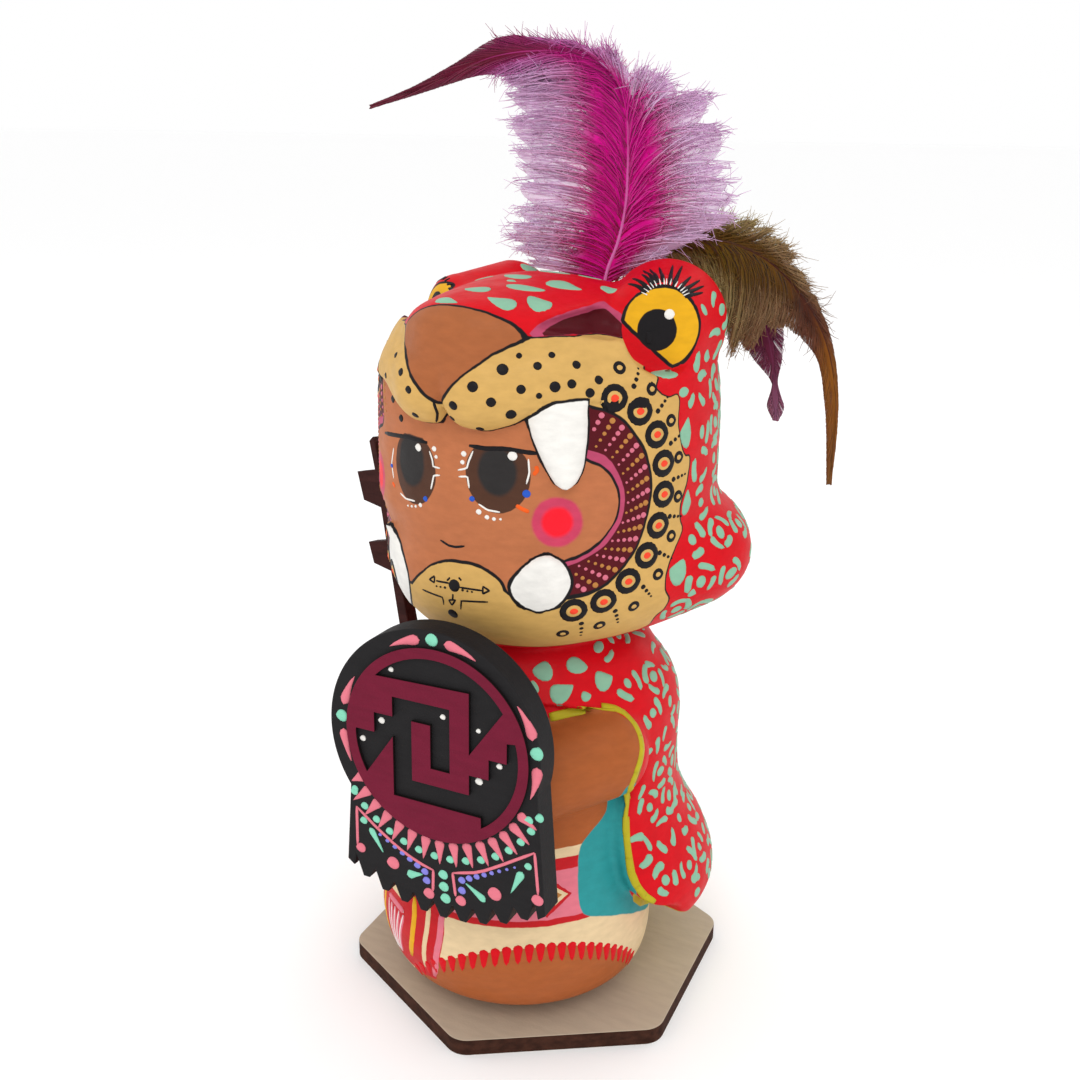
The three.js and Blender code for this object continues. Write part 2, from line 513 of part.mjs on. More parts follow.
// A feather is a closed blade between two edges, thickest at its shaft; each place along it is
// [shaft x, shaft y, shaft height, left edge x, left edge height, right edge x, right edge height]
const FEATHERS = {
  feather_tall: {
    color: '#a0107c',
    thickness: 3,
    places: [
      [3, 12.6, 116.4, 2.4, 116.4, 3.6, 116.4], [4.2, 12.2, 121.5, 2.6, 121.8, 6, 121.3],
      [6, 12, 126, -12.6, 125.2, 20, 127], [7.2, 12, 131.7, -14.4, 131, 27, 131.6],
      [7.4, 12, 137.5, -14, 137.4, 25.6, 137.5], [7.2, 12, 143.7, -15.6, 143.3, 24.4, 143.6],
      [6.2, 12, 149, -15.6, 148.6, 20.6, 149.8], [3.4, 12, 152.8, -15.8, 150.8, 8.4, 154.3],
      [-2, 12, 155, -16.4, 151.8, 0.4, 156.8], [-9.5, 12, 155.8, -18.2, 152.2, -8.6, 157.8],
      [-18, 12, 155, -22, 151.9, -17.2, 158], [-26, 12, 152.4, -27.4, 150.6, -25.4, 154.2],
      [-34.5, 12, 149.5, -35, 148.7, -34.2, 150.4], [-43.6, 12, 147, -43.6, 146.7, -43.6, 147.3],
    ],
  },
  feather_brown: {
    color: '#5a4415',
    thickness: 2.4,
    places: [
      [4, 15, 116.4, 3.4, 116.4, 4.6, 116.4], [5, 16, 121.4, 4.2, 121.6, 5.8, 121.2],
      [12, 19, 126, 10.8, 128.2, 12.6, 124], [20, 19, 127, 21, 130.6, 22, 118.6],
      [29, 19, 124.4, 30.4, 129, 24.6, 107.6], [36, 19, 118.4, 37, 120.2, 32, 113.4],
      [40.2, 19, 111.8, 41, 112.4, 38.2, 110], [42.6, 19, 102, 43, 102.2, 40.8, 101.6],
      [42.6, 19, 88.6, 43, 88.6, 42.2, 88.6],
    ],
  },
  feather_drooping: {
    color: '#5f1338',
    thickness: 1.8,
    places: [
      [1.6, 15.8, 116.4, 1, 116.4, 2.2, 116.4], [3.2, 18, 121, 2.6, 121.2, 3.8, 120.8],
      [12, 23, 123.6, 12, 124.4, 12, 122.8], [21, 23, 121.6, 22, 123.4, 20, 118.6],
      [27.4, 23, 115, 30.6, 117.6, 23, 111.4], [30, 23, 108, 31.8, 108.6, 26.4, 107],
      [31, 23, 101.6, 31.6, 101.6, 30.4, 101.6], [31.4, 23, 97.6, 32, 97.6, 30.8, 97.6],
    ],
  },
};
const STEPS_PER_PLACE = 3;
const EDGE_THINNESS = 0.35;

function featherGeometry({ places, thickness }) {
  const curveOf = (pick) => new THREE.CatmullRomCurve3(places.map((p) => new THREE.Vector3(...pick(p))), false, 'centripetal');
  const shaft = curveOf(([x, y, z]) => [x, y, z]);
  const leftEdge = curveOf(([, y, , x, z]) => [x, y, z]);
  const rightEdge = curveOf(([, y, , , , x, z]) => [x, y, z]);
  const steps = (places.length - 1) * STEPS_PER_PLACE;
  const positions = [];
  for (let n = 0; n <= steps; n++) {
    const middle = shaft.getPoint(n / steps);
    const left = leftEdge.getPoint(n / steps);
    const right = rightEdge.getPoint(n / steps);
    const width = left.distanceTo(right);
    const half = thickness / 2 * clamp(width / 6, EDGE_THINNESS, 1);
    const rim = half * EDGE_THINNESS;
    for (const [x, y, z] of [
      [left.x, left.y - rim, left.z], [middle.x, middle.y - half, middle.z], [right.x, right.y - rim, right.z],
      [right.x, right.y + rim, right.z], [middle.x, middle.y + half, middle.z], [left.x, left.y + rim, left.z],
    ]) positions.push(x, y, z);
  }
  return ringsGeometry(positions, 6, steps).translate(0, 0, GROUND);
}

// A closed skin over equal rings of corners, flat at both ends
function ringsGeometry(positions, corners, steps) {
  const faces = [];
  for (let n = 0; n < steps; n++) for (let c = 0; c < corners; c++) {
    const a = n * corners + c;
    const b = n * corners + (c + 1) % corners;
    faces.push(a, b, b + corners, a, b + corners, a + corners);
  }
  const last = steps * corners;
  for (let c = 1; c < corners - 1; c++) {
    faces.push(0, c + 1, c);
    faces.push(last, last + c, last + c + 1);
  }
  const geometry = new THREE.BufferGeometry();
  geometry.setAttribute('position', new THREE.Float32BufferAttribute(positions, 3));
  geometry.setIndex(faces);
  return geometry;
}

const figurine = new THREE.Group();
figurine.add(piece('base_board', boardGeometry(), { color: '#b39b80', roughness: 0.7 }));
figurine.add(piece('clay_figure', clayGeometry(), { color: '#d8232f', roughness: 0.6 }));
figurine.add(piece('shield_board', placedShield(standing(shieldOutline(), SHIELD.thickness), 0), { color: '#2b2829', roughness: 0.7 }));
figurine.add(piece('shield_disc', placedShield(discGeometry(), SHIELD.thickness + 0.05), { color: '#6e1a35', roughness: 0.7 }));
figurine.add(piece('club', clubGeometry().translate(0, 0, GROUND), { color: '#4a2a22', roughness: 0.7 }));
for (const [name, feather] of Object.entries(FEATHERS)) {
  figurine.add(piece(name, featherGeometry(feather), { color: feather.color, roughness: 0.8 }));
}

export default figurine;
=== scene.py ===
"""A hand-painted clay warrior figurine in a big-cat helmet and a cape, glued to a hexagonal board.

It holds a round shield with a toothed fringe and a small club, and three dyed feathers stand in its head.
Shapes are worked out in millimetres, with heights above the figure's underside, and scaled to metres.
"""
import math
import random

import bmesh
import bpy
import numpy as np
from mathutils import Matrix, Vector


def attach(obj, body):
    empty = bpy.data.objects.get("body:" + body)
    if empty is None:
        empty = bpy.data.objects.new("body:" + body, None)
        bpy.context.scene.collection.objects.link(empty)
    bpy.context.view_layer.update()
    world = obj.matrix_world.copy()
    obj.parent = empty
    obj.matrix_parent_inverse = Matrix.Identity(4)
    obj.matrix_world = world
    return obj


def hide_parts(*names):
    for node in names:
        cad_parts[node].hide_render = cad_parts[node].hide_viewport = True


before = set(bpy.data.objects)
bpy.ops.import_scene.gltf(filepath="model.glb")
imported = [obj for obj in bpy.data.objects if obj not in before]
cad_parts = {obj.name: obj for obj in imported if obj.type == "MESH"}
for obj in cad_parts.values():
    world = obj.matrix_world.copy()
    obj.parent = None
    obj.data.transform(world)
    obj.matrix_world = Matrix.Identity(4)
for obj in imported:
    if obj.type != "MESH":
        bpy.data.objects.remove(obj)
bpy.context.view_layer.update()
METRES = 0.001
BOARD_THICKNESS = 3
GLUE_GAP = 0.3
GROUND = BOARD_THICKNESS + GLUE_GAP

# Driving dimensions of the clay figure in millimetres. Heights are above the figure's underside.
BODY_RADII = [(-6, 8), (0, 15), (1.5, 17.8), (3, 19.8), (5, 22), (8, 23.2), (13, 23.8), (20, 23.2), (30, 21),
              (40, 19.6), (50, 18.6), (58, 17), (66, 14)]
BODY_LEAN = [(-6, -7.4), (5, -7.4), (15, -8.5), (35, -7), (60, -3), (70, -1)]
HEAD_Y = 0.5
HEAD_Z = 91.8
HEAD_RADIUS = 28.1
HEAD_HALF_HEIGHT = 27.6
HEAD_SQUARENESS = 4
JAW_MIDDLE = (0, -9, 76)
JAW_RADII = (22, 19.6, 13)
CREST_TOP = [(-33, 119.2), (-31, 119.7), (-24, 121), (-16, 121.9), (-4, 122.4), (6, 121), (14, 118.8)]
CREST_FALL = [(-30, 0.03), (-24, 0.02), (-4, 0.009), (12, 0.012)]
CREST_RIGHT_FALL = 0.011
CREST_HALF_WIDTH = [(-31, 9.6), (-28, 11.4), (-24, 13), (-18, 14.6), (-12, 15.6), (-6, 14.6), (10, 14.6)]
NOSE_BULGE = [(0, 3.6), (8, 3.3), (16, 1.8), (24, 0), (60, 0), (90, -6)]
NOSE_BOTTOM = 106
LOBE_HEIGHT = 107.6
LOBE_TOP = 116.8
LOBE_TOP_INSET = 4
LOBE_SEAM = -1.5
LOBE_LOWER_EDGE = [(0, 104.6), (3, 102.6), (6, 102.1), (12, 102), (16, 102.5), (21, 103.4), (27, 105.4),
                   (31, 106.3), (36, 106.5), (60, 106)]
LOBE_BULGE = [(0, 3), (1.6, 3.9), (8, 4.4), (14, 3.9), (21, 2.4), (30, 1.2), (45, 0.5), (55, 0), (66, -0.6),
              (84, -8)]
SKULL_TAKES_OVER = (30, 54)
HOLLOW = {"a": (11.8, -23.4, 117.1), "b": (17.2, -13.8, 117.2), "radius_a": 0.7, "radius_b": 4.2}
HOLLOW_FLATNESS = 1.5
HELMET_EYES = {
    "left": {"face": (22, -5.4, 115.6), "face_radius": 7.6, "turn": 40, "dome": (18, 5.4, 115),
             "dome_radius": 9.7},
    "right": {"face": (-19.6, -3, 114.6), "face_radius": 6, "turn": -34, "dome": (-12.6, 9, 114.8),
              "dome_radius": 7.6},
}
HELMET_EYE_OUT = 4.2
RECESS_RADIUS = 6.6
RECESS_DEPTH = 3.5
FLARE_HEIGHT = 77.6
FLARE_RING = (15.5, 24)
FLARE_TUBE = (10.6, 9.2)
FLARE_FROM = 62
FLARE_FULL = 108
UPPER_FANG_WIDTH = [(93.9, 0.3), (94.4, 1.3), (95.5, 2.1), (97.5, 3), (100, 3.7), (102, 4.2), (105, 4.6),
                    (108, 4.6)]
LOWER_FANG_WIDTH = [(74.6, 0.3), (75.1, 2), (76.5, 3.7), (78.5, 4.6), (80, 4.3), (82, 3), (83.2, 1.6),
                    (83.8, 0.3)]
RIGHT_LOWER_WIDTH = [(69.8, 0.3), (70.6, 2), (73, 4.4), (77, 5.4), (80, 4.2), (82, 2.2), (82.8, 0.3)]
FANGS = [
    {"degrees": [(94, 33.6), (96, 33.6), (100, 32.4), (105, 30.8)], "half_width": UPPER_FANG_WIDTH,
     "rise": 2},
    {"degrees": [(94, -72), (105, -72)], "half_width": UPPER_FANG_WIDTH, "rise": 1},
    {"degrees": [(74.7, 26.5), (78, 26.8), (82, 28.4), (83.6, 28.6)], "half_width": LOWER_FANG_WIDTH,
     "rise": 1.8},
    {"degrees": [(70, -30), (76, -31), (82, -38)], "half_width": RIGHT_LOWER_WIDTH, "rise": 1.5},
]
RIGHT_JAW_INSET = [(60, 0.8), (64, 0.8), (70, 1), (74, 1.6), (80, 1.8), (83, 1.2), (87, 0)]
FANG_UNDER_LIP = 0.5
MM_PER_DEGREE = math.pi * HEAD_RADIUS / 180
CAPE_RADII = [(8, 27), (13, 30.4), (19, 31.4), (25, 29.4), (30, 26.4), (35, 24.6), (41, 24), (50, 24),
              (55, 22.4), (59, 19.6), (64, 16.5)]
CAPE_FRONT_EDGE = [(14, 84), (19, 77), (21, 68), (24, 61.5), (28, 59.5), (34, 60.5), (38, 64), (42, 71),
                   (48, 72.5), (52, 68), (54, 60), (55.6, 40), (57, 0), (66, 0)]
CAPE_BOTTOM = 14.5
CAPE_TOP = 63
LEFT_ARM = ((17.4, -12, 47), (9, -26.2, 44), 8, 6.4)
RIGHT_ARM = ((-17, -12, 47), (-15.5, -17.5, 47.5), 7.6, 6)
BODY_MIDDLE = 30.5
BODY_HALF_HEIGHT = 35.5
INSET_BEGINS = (8, 45)
INSET_ENDS = (75, 110)
CAPE_LEAST_OUT = 8
BEHIND_LOBES = 12

# How softly each form runs into what it meets, in millimetres
BLEND = {"body_ends": 4, "cape_front": 1.6, "cape_ends": 3, "crest_wall": 3, "crest_sides": 2.4,
         "nose_foot": 2, "recess": 1.5, "eye_front": 1, "fang_ends": 0.3, "jaw": 1.5, "crest": 1.2,
         "flare": 3, "lobes": 0.5, "hollow": 0.6, "recess_edge": 1.2, "eye": 1.5, "fang": 0.4, "arms": 1.5,
         "cape": 1.2, "head": 1}
# Fields are made a little less steep, so that a line which follows them doesn't step through the surface
EASE = {"body": 0.9, "cape": 0.85, "cape_front": 0.7, "skull": 0.9, "jaw": 0.7, "crest_wall": 0.8,
        "crest": 0.9, "lobes": 0.7, "flare": 0.9, "fang": 0.8}


def lerp(a, b, t):
    return a + (b - a) * t


def smoothstep(low, high, value):
    t = np.clip((value - low) / (high - low), 0, 1)
    return t * t * (3 - 2 * t)


def hermite(start, end, leaving, arriving, t):
    """A smooth curve from start to end, with how fast it leaves and arrives."""
    return (start * (1 + 2 * t) * (1 - t) ** 2 + end * t * t * (3 - 2 * t)
            + leaving * t * (1 - t) ** 2 - arriving * t * t * (1 - t))


def through(pairs, place):
    """A smooth curve through (place, value) pairs, flat beyond its ends."""
    at, value = np.array(pairs, float).T
    following = np.minimum(np.arange(len(at)) + 1, len(at) - 1)
    before = np.maximum(np.arange(len(at)) - 1, 0)
    slope = (value[following] - value[before]) / (at[following] - at[before])
    place = np.clip(place, at[0], at[-1])
    i = np.clip(np.searchsorted(at, place), 1, len(at) - 1)
    gap = at[i] - at[i - 1]
    return hermite(value[i - 1], value[i], gap * slope[i - 1], gap * slope[i], (place - at[i - 1]) / gap)


def unit(vectors, least=1e-9):
    """The vectors along the last axis, brought to a length of one."""
    return vectors / np.maximum(np.linalg.norm(vectors, axis=-1, keepdims=True), least)


# Fields are negative inside, in millimetres
def join(a, b, blend):
    """What lies in a or b, run together over the blend."""
    h = np.clip(0.5 + 0.5 * (b - a) / blend, 0, 1)
    return lerp(b, a, h) - blend * h * (1 - h)


def meet(a, b, blend):
    """What lies in both a and b, with a rounded edge."""
    return -join(-a, -b, blend)


def ellipsoid(x, y, z, middle, radii):
    p = [(v - c) / r for v, c, r in zip((x, y, z), middle, radii)]
    q = [v / r for v, r in zip(p, radii)]
    far = np.sqrt(sum(v * v for v in p))
    steep = np.sqrt(sum(v * v for v in q))
    return far * (far - 1) / np.maximum(steep, 1e-6)


def tapered_rod(x, y, z, a, b, radius_a, radius_b):
    d = [v - u for u, v in zip(a, b)]
    t = np.clip(((x - a[0]) * d[0] + (y - a[1]) * d[1] + (z - a[2]) * d[2]) / sum(v * v for v in d), 0, 1)
    out = np.sqrt((x - a[0] - d[0] * t) ** 2 + (y - a[1] - d[1] * t) ** 2 + (z - a[2] - d[2] * t) ** 2)
    return out - lerp(radius_a, radius_b, t)


def degrees_round(x, y):
    """Degrees round the head from straight ahead, towards the left side."""
    return np.degrees(np.arctan2(x, HEAD_Y - y))


def turn_from_front(x, y):
    """Degrees round from straight ahead, to either side."""
    return np.degrees(np.abs(np.arctan2(x, -y)))


def body(x, y, z):
    round_part = (np.hypot(x, y - through(BODY_LEAN, z)) - through(BODY_RADII, z)) * EASE["body"]
    return meet(round_part, np.abs(z - BODY_MIDDLE) - BODY_HALF_HEIGHT, BLEND["body_ends"])


def arms(x, y, z):
    return np.minimum(*[tapered_rod(x, y, z, *arm) for arm in (LEFT_ARM, RIGHT_ARM)])


def cape(x, y, z):
    out = np.hypot(x, y)
    outside = (out - through(CAPE_RADII, z)) * EASE["cape"]
    before_edge = np.radians(through(CAPE_FRONT_EDGE, z) - turn_from_front(x, y))
    in_front = before_edge * np.maximum(out, CAPE_LEAST_OUT) * EASE["cape_front"]
    ends = np.maximum(CAPE_BOTTOM - z, z - CAPE_TOP)
    return meet(meet(outside, in_front, BLEND["cape_front"]), ends, BLEND["cape_ends"])


def right_inset(x, y, z):
    """How far the right side of the lower face is drawn in."""
    degrees = degrees_round(-x, y)
    round_to_it = smoothstep(*INSET_BEGINS, degrees) * (1 - smoothstep(*INSET_ENDS, degrees))
    return round_to_it * through(RIGHT_JAW_INSET, z)


def skull(x, y, z):
    out = (np.hypot(x, y - HEAD_Y) + right_inset(x, y, z)) / HEAD_RADIUS
    up = np.abs(z - HEAD_Z) / HEAD_HALF_HEIGHT
    n = HEAD_SQUARENESS
    return ((out ** n + up ** n) ** (1 / n) - 1) * HEAD_RADIUS * EASE["skull"]


def skull_radius_at(z):
    """How far the skull reaches out at a height."""
    share = np.abs(z - HEAD_Z) / HEAD_HALF_HEIGHT
    return HEAD_RADIUS * np.maximum(0, 1 - share ** HEAD_SQUARENESS) ** (1 / HEAD_SQUARENESS)


def crest(x, y, z):
    """The top of the helmet's snout and forehead, down to the nose in front."""
    degrees = turn_from_front(x, y - HEAD_Y)
    wall = (np.hypot(x, y - HEAD_Y) - HEAD_RADIUS - through(NOSE_BULGE, degrees)) * EASE["crest_wall"]
    fall = through(CREST_FALL, y) + np.where(x < 0, CREST_RIGHT_FALL, 0)
    roof = (z - through(CREST_TOP, y) + fall * x * x) * EASE["crest"]
    sides = (np.abs(x) - through(CREST_HALF_WIDTH, y)) * EASE["crest"]
    top = meet(meet(roof, wall, BLEND["crest_wall"]), sides, BLEND["crest_sides"])
    return meet(top, NOSE_BOTTOM - z, BLEND["nose_foot"])


def lobes(x, y, z):
    """The two lobes over the mouth: a band round the skull that bulges out, with a crisp lower edge."""
    out = np.hypot(x, y - HEAD_Y)
    degrees = np.abs(degrees_round(x, y) - LOBE_SEAM)
    upper = z > LOBE_HEIGHT
    half = np.where(upper, LOBE_TOP - LOBE_HEIGHT, LOBE_HEIGHT - through(LOBE_LOWER_EDGE, degrees))
    rise = (z - LOBE_HEIGHT) / half
    within = 1 - rise ** 2
    bulge = through(LOBE_BULGE, degrees)
    inset = np.where(upper, LOBE_TOP_INSET * rise ** 2, 0)
    base = lerp(HEAD_RADIUS, skull_radius_at(z), smoothstep(*SKULL_TAKES_OVER, degrees))
    raised = np.maximum(bulge, 0) * np.sqrt(np.maximum(within, 0))
    offset = np.where(within < 0, BEHIND_LOBES * within, raised)
    return (out - base - offset + inset - np.minimum(bulge, 0)) * EASE["lobes"]


def snout_hollow(x, y, z):
    """The pit between the snout and the lobe below it, pointed towards the nose."""
    low = HOLLOW["b"][2]
    return tapered_rod(np.abs(x), y, low + (z - low) * HOLLOW_FLATNESS, **HOLLOW) / HOLLOW_FLATNESS


def eye_way(turn):
    """The way in which a helmet eye's front looks, from above."""
    return np.sin(np.radians(turn)), -np.cos(np.radians(turn))


def before_eye(x, y, z, face, turn):
    """Across, up and ahead of a helmet eye's flat front."""
    nx, ny = eye_way(turn)
    x, y = x - face[0], y - face[1]
    return x * -ny + y * nx, z - face[2], x * nx + y * ny


def eye_recess(x, y, z, face, turn):
    across, up, ahead = before_eye(x, y, z, face, turn)
    round_part = np.hypot(across, up) - RECESS_RADIUS
    return meet(round_part, np.abs(ahead - RECESS_DEPTH) - RECESS_DEPTH, BLEND["recess"])


def helmet_eye(x, y, z, face, face_radius, turn, dome, dome_radius):
    nx, ny = eye_way(turn)
    front = (face[0] - nx * HELMET_EYE_OUT, face[1] - ny * HELMET_EYE_OUT, face[2])
    round_part = tapered_rod(x, y, z, front, dome, face_radius, dome_radius)
    return meet(round_part, before_eye(x, y, z, face, turn)[2], BLEND["eye_front"])


def hood_flare(x, y, z):
    spread = smoothstep(FLARE_FROM, FLARE_FULL, turn_from_front(x, y))
    out = (np.hypot(x, y) - lerp(*FLARE_RING, spread)) / FLARE_TUBE[0]
    up = (z - FLARE_HEIGHT) / FLARE_TUBE[1]
    return (np.hypot(np.maximum(out, 0), up) - 1) * FLARE_TUBE[1] * EASE["flare"]


def fang(x, y, z, degrees, half_width, rise):
    """A tooth on the skull: how far round and how wide it is at each height, and how much it stands out."""
    width = through(half_width, z)
    across = (degrees_round(x, y) - through(degrees, z)) * MM_PER_DEGREE / width
    out = (np.hypot(x, y - HEAD_Y) + right_inset(x, y, z) - skull_radius_at(z)) / rise
    side = (np.hypot(across, out) - 1) * np.minimum(width, rise) * EASE["fang"]
    lip = through(LOBE_LOWER_EDGE, turn_from_front(x, y - HEAD_Y)) + FANG_UNDER_LIP
    ends = np.maximum(half_width[0][0] - z, z - np.minimum(half_width[-1][0], lip))
    return meet(side, ends, BLEND["fang_ends"])


def head(x, y, z):
    jaw = ellipsoid(x, y, z, JAW_MIDDLE, JAW_RADII) + right_inset(x, y, z) * EASE["jaw"]
    shape = join(skull(x, y, z), jaw, BLEND["jaw"])
    for name, form in (("crest", crest), ("flare", hood_flare), ("lobes", lobes)):
        shape = join(shape, form(x, y, z), BLEND[name])
    shape = meet(shape, -snout_hollow(x, y, z), BLEND["hollow"])
    for eye in HELMET_EYES.values():
        shape = meet(shape, -eye_recess(x, y, z, eye["face"], eye["turn"]), BLEND["recess_edge"])
        shape = join(shape, helmet_eye(x, y, z, **eye), BLEND["eye"])
    for each in FANGS:
        shape = join(shape, fang(x, y, z, **each), BLEND["fang"])
    return shape


def figure(points):
    x, y, z = points.T
    trunk = join(body(x, y, z), arms(x, y, z), BLEND["arms"])
    trunk = join(trunk, cape(x, y, z), BLEND["cape"])
    return join(trunk, head(x, y, z), BLEND["head"])


# Meshing a field: a coarse grid finds the surface, fine cells near it are netted, and the corners are moved
# onto the surface
FINE_CELL = 0.64
FINE_STEPS = 4
NET_LOW = (-40.4, -40.2, -0.6)
NET_HIGH = (40.4, 42.4, 128.8)
HOLDS_SURFACE = 1.3
JUST_INSIDE = -0.01
ROUND_A_SQUARE = ((0, 0), (1, 0), (1, 1), (0, 1))


def gradient(field, points, near=0.02):
    """The field's slope at each point."""
    steps = np.eye(3) * near
    return np.stack([field(points + step) - field(points - step) for step in steps], 1) / (2 * near)


def onto(field, points, passes=3, most=1.0):
    """Moves points along the field's slope until they lie where it is zero."""
    for _ in range(passes):
        value = field(points)
        slope = gradient(field, points)
        steep = np.maximum((slope ** 2).sum(1), 0.05)
        points = points - np.clip(value / steep, -most, most)[:, None] * slope
    return points


def grid_values(field, cell):
    """The field on the corners of fine cells near the surface, and not-a-number elsewhere."""
    coarse = cell * FINE_STEPS
    counts = [int(math.ceil((h - l) / coarse)) + 1 for l, h in zip(NET_LOW, NET_HIGH)]
    middles = np.stack(np.meshgrid(*[np.arange(n) for n in counts], indexing="ij"), -1).reshape(-1, 3)
    places = np.array(NET_LOW) + (middles + 0.5) * coarse
    near = np.abs(field(places)) < coarse * HOLDS_SURFACE
    blocks = middles[near] * FINE_STEPS
    size = [n * FINE_STEPS + 1 for n in counts]
    values = np.full(size, np.nan)
    step = np.arange(FINE_STEPS + 1)
    offsets = np.stack(np.meshgrid(step, step, step, indexing="ij"), -1).reshape(-1, 3)
    wanted = (blocks[:, None, :] + offsets).reshape(-1, 3)
    flat = np.unique(np.ravel_multi_index(wanted.T, size))
    at = np.stack(np.unravel_index(flat, size), 1)
    values.reshape(-1)[flat] = field(np.array(NET_LOW) + at * cell)
    return values


def fill_pinches(values):
    """Fills one corner wherever two sheets of the surface would share a cell's side."""
    changed = True
    while changed:
        changed = False
        for axis in range(3):
            u, v = [a for a in range(3) if a != axis]
            squares = []
            for du, dv in ROUND_A_SQUARE:
                part = [slice(None)] * 3
                part[u] = slice(du, values.shape[u] - 1 + du)
                part[v] = slice(dv, values.shape[v] - 1 + dv)
                squares.append(values[tuple(part)])
            inside = [s < 0 for s in squares]
            pinched = (inside[0] == inside[2]) & (inside[1] == inside[3]) & (inside[0] != inside[1])
            for place in np.argwhere(pinched):
                corners = []
                for du, dv in ROUND_A_SQUARE:
                    corner = place.copy()
                    corner[u] += du
                    corner[v] += dv
                    corners.append(tuple(corner))
                outer = [c for c in corners if values[c] >= 0]
                if outer:
                    values[min(outer, key=lambda c: values[c])] = JUST_INSIDE
                    changed = True


def net(field, cell):
    """The closed surface where a field is zero, as corners and four-cornered faces."""
    values = grid_values(field, cell)
    fill_pinches(values)
    inside = values < 0
    known = ~np.isnan(values)
    corner_of = np.full([n - 1 for n in values.shape], -1)
    crossing_sum = np.zeros(list(corner_of.shape) + [3], np.float32)
    crossing_count = np.zeros(corner_of.shape, np.int16)
    edges = []
    for axis in range(3):
        low = [slice(0, -1) if a == axis else slice(None) for a in range(3)]
        high = [slice(1, None) if a == axis else slice(None) for a in range(3)]
        changes = known[tuple(low)] & known[tuple(high)] & (inside[tuple(low)] != inside[tuple(high)])
        start = np.argwhere(changes)
        a = values[tuple(start.T)]
        end = start.copy()
        end[:, axis] += 1
        b = values[tuple(end.T)]
        crossing = start.astype(float)
        crossing[:, axis] += a / (a - b)
        u, v = (axis + 1) % 3, (axis + 2) % 3
        ring = []
        for du, dv in ROUND_A_SQUARE:
            cell_at = start.copy()
            cell_at[:, u] -= du
            cell_at[:, v] -= dv
            ring.append(cell_at)
            np.add.at(crossing_sum, tuple(cell_at.T), crossing)
            np.add.at(crossing_count, tuple(cell_at.T), 1)
        edges.append((ring, a < 0))
    used = np.argwhere(crossing_count > 0)
    corner_of[tuple(used.T)] = np.arange(len(used))
    middle = crossing_sum[tuple(used.T)] / crossing_count[tuple(used.T)][:, None]
    points = np.array(NET_LOW) + middle * cell
    faces = []
    for ring, starts_inside in edges:
        corners = np.stack([corner_of[tuple(c.T)] for c in ring], 1)
        faces.append(np.where(starts_inside[:, None], corners, corners[:, ::-1]))
    return points, np.concatenate(faces)


def clay(points):
    """The whole figure, flat underneath."""
    return np.maximum(figure(points), -points[:, 2])


# The photographer's view, in millimetres from the middle of the board, and how a place in it is found
VIEW_SIZE = 1080
VIEW_ANGLE = 46
VIEW_FROM = (99.3, -181.1, 143.6)
VIEW_AZIMUTH = 29
VIEW_ELEVATION = 17.8
VIEW_ROLL = 0.9
VIEW_START = 130
MARCH_SHARE = 0.8
MARCH_LIMITS = (-2, 8)
FOCAL = VIEW_SIZE / 2 / math.tan(math.radians(VIEW_ANGLE / 2))


def view_axes():
    """The directions to the right, up and back of the view."""
    azimuth, elevation, roll = [math.radians(v) for v in (VIEW_AZIMUTH, VIEW_ELEVATION, VIEW_ROLL)]
    back = np.array([math.sin(azimuth) * math.cos(elevation), -math.cos(azimuth) * math.cos(elevation),
                     math.sin(elevation)])
    level = np.array([math.cos(azimuth), math.sin(azimuth), 0])
    upright = np.cross(back, level)
    right = level * math.cos(roll) + upright * math.sin(roll)
    up = upright * math.cos(roll) - level * math.sin(roll)
    return right, up, back


def march(field, start, along, most=120, near=0.004):
    """Follows each line from its start until it meets the field's surface."""
    point = np.array(start, float)
    for _ in range(most):
        away = np.clip(field(point), *MARCH_LIMITS)
        point = point + away[:, None] * MARCH_SHARE * along
        if np.abs(away).max() < near:
            break
    return point


def cast(places):
    """The places on the clay that are seen at (across, down) in the photograph's pixels."""
    right, up, back = view_axes()
    across, down = ((np.array(places, float).reshape(-1, 2) - VIEW_SIZE / 2) / FOCAL).T
    along = unit(across[:, None] * right - down[:, None] * up - back)
    return march(figure, np.array(VIEW_FROM) + along * VIEW_START, along)


# Where seen places met the clay
MET = {}


def remember(places):
    """Finds many seen places at once, and keeps where they are."""
    wanted = [tuple(p) for p in places if tuple(p) not in MET]
    if wanted:
        MET.update(zip(wanted, cast(wanted)))


def seen(places):
    """The places on the clay for places seen in the photograph."""
    remember(places)
    return np.array([MET[tuple(p)] for p in places])


def round_to(places, start=46):
    """The places on the clay at (degrees round from the front, height)."""
    degrees, height = np.array(places, float).reshape(-1, 2).T
    outward = np.stack([np.sin(np.radians(degrees)), -np.cos(np.radians(degrees)), 0 * degrees], 1)
    begin = outward * start + np.stack([0 * degrees, 0 * degrees + HEAD_Y, height], 1)
    return march(figure, begin, -outward)


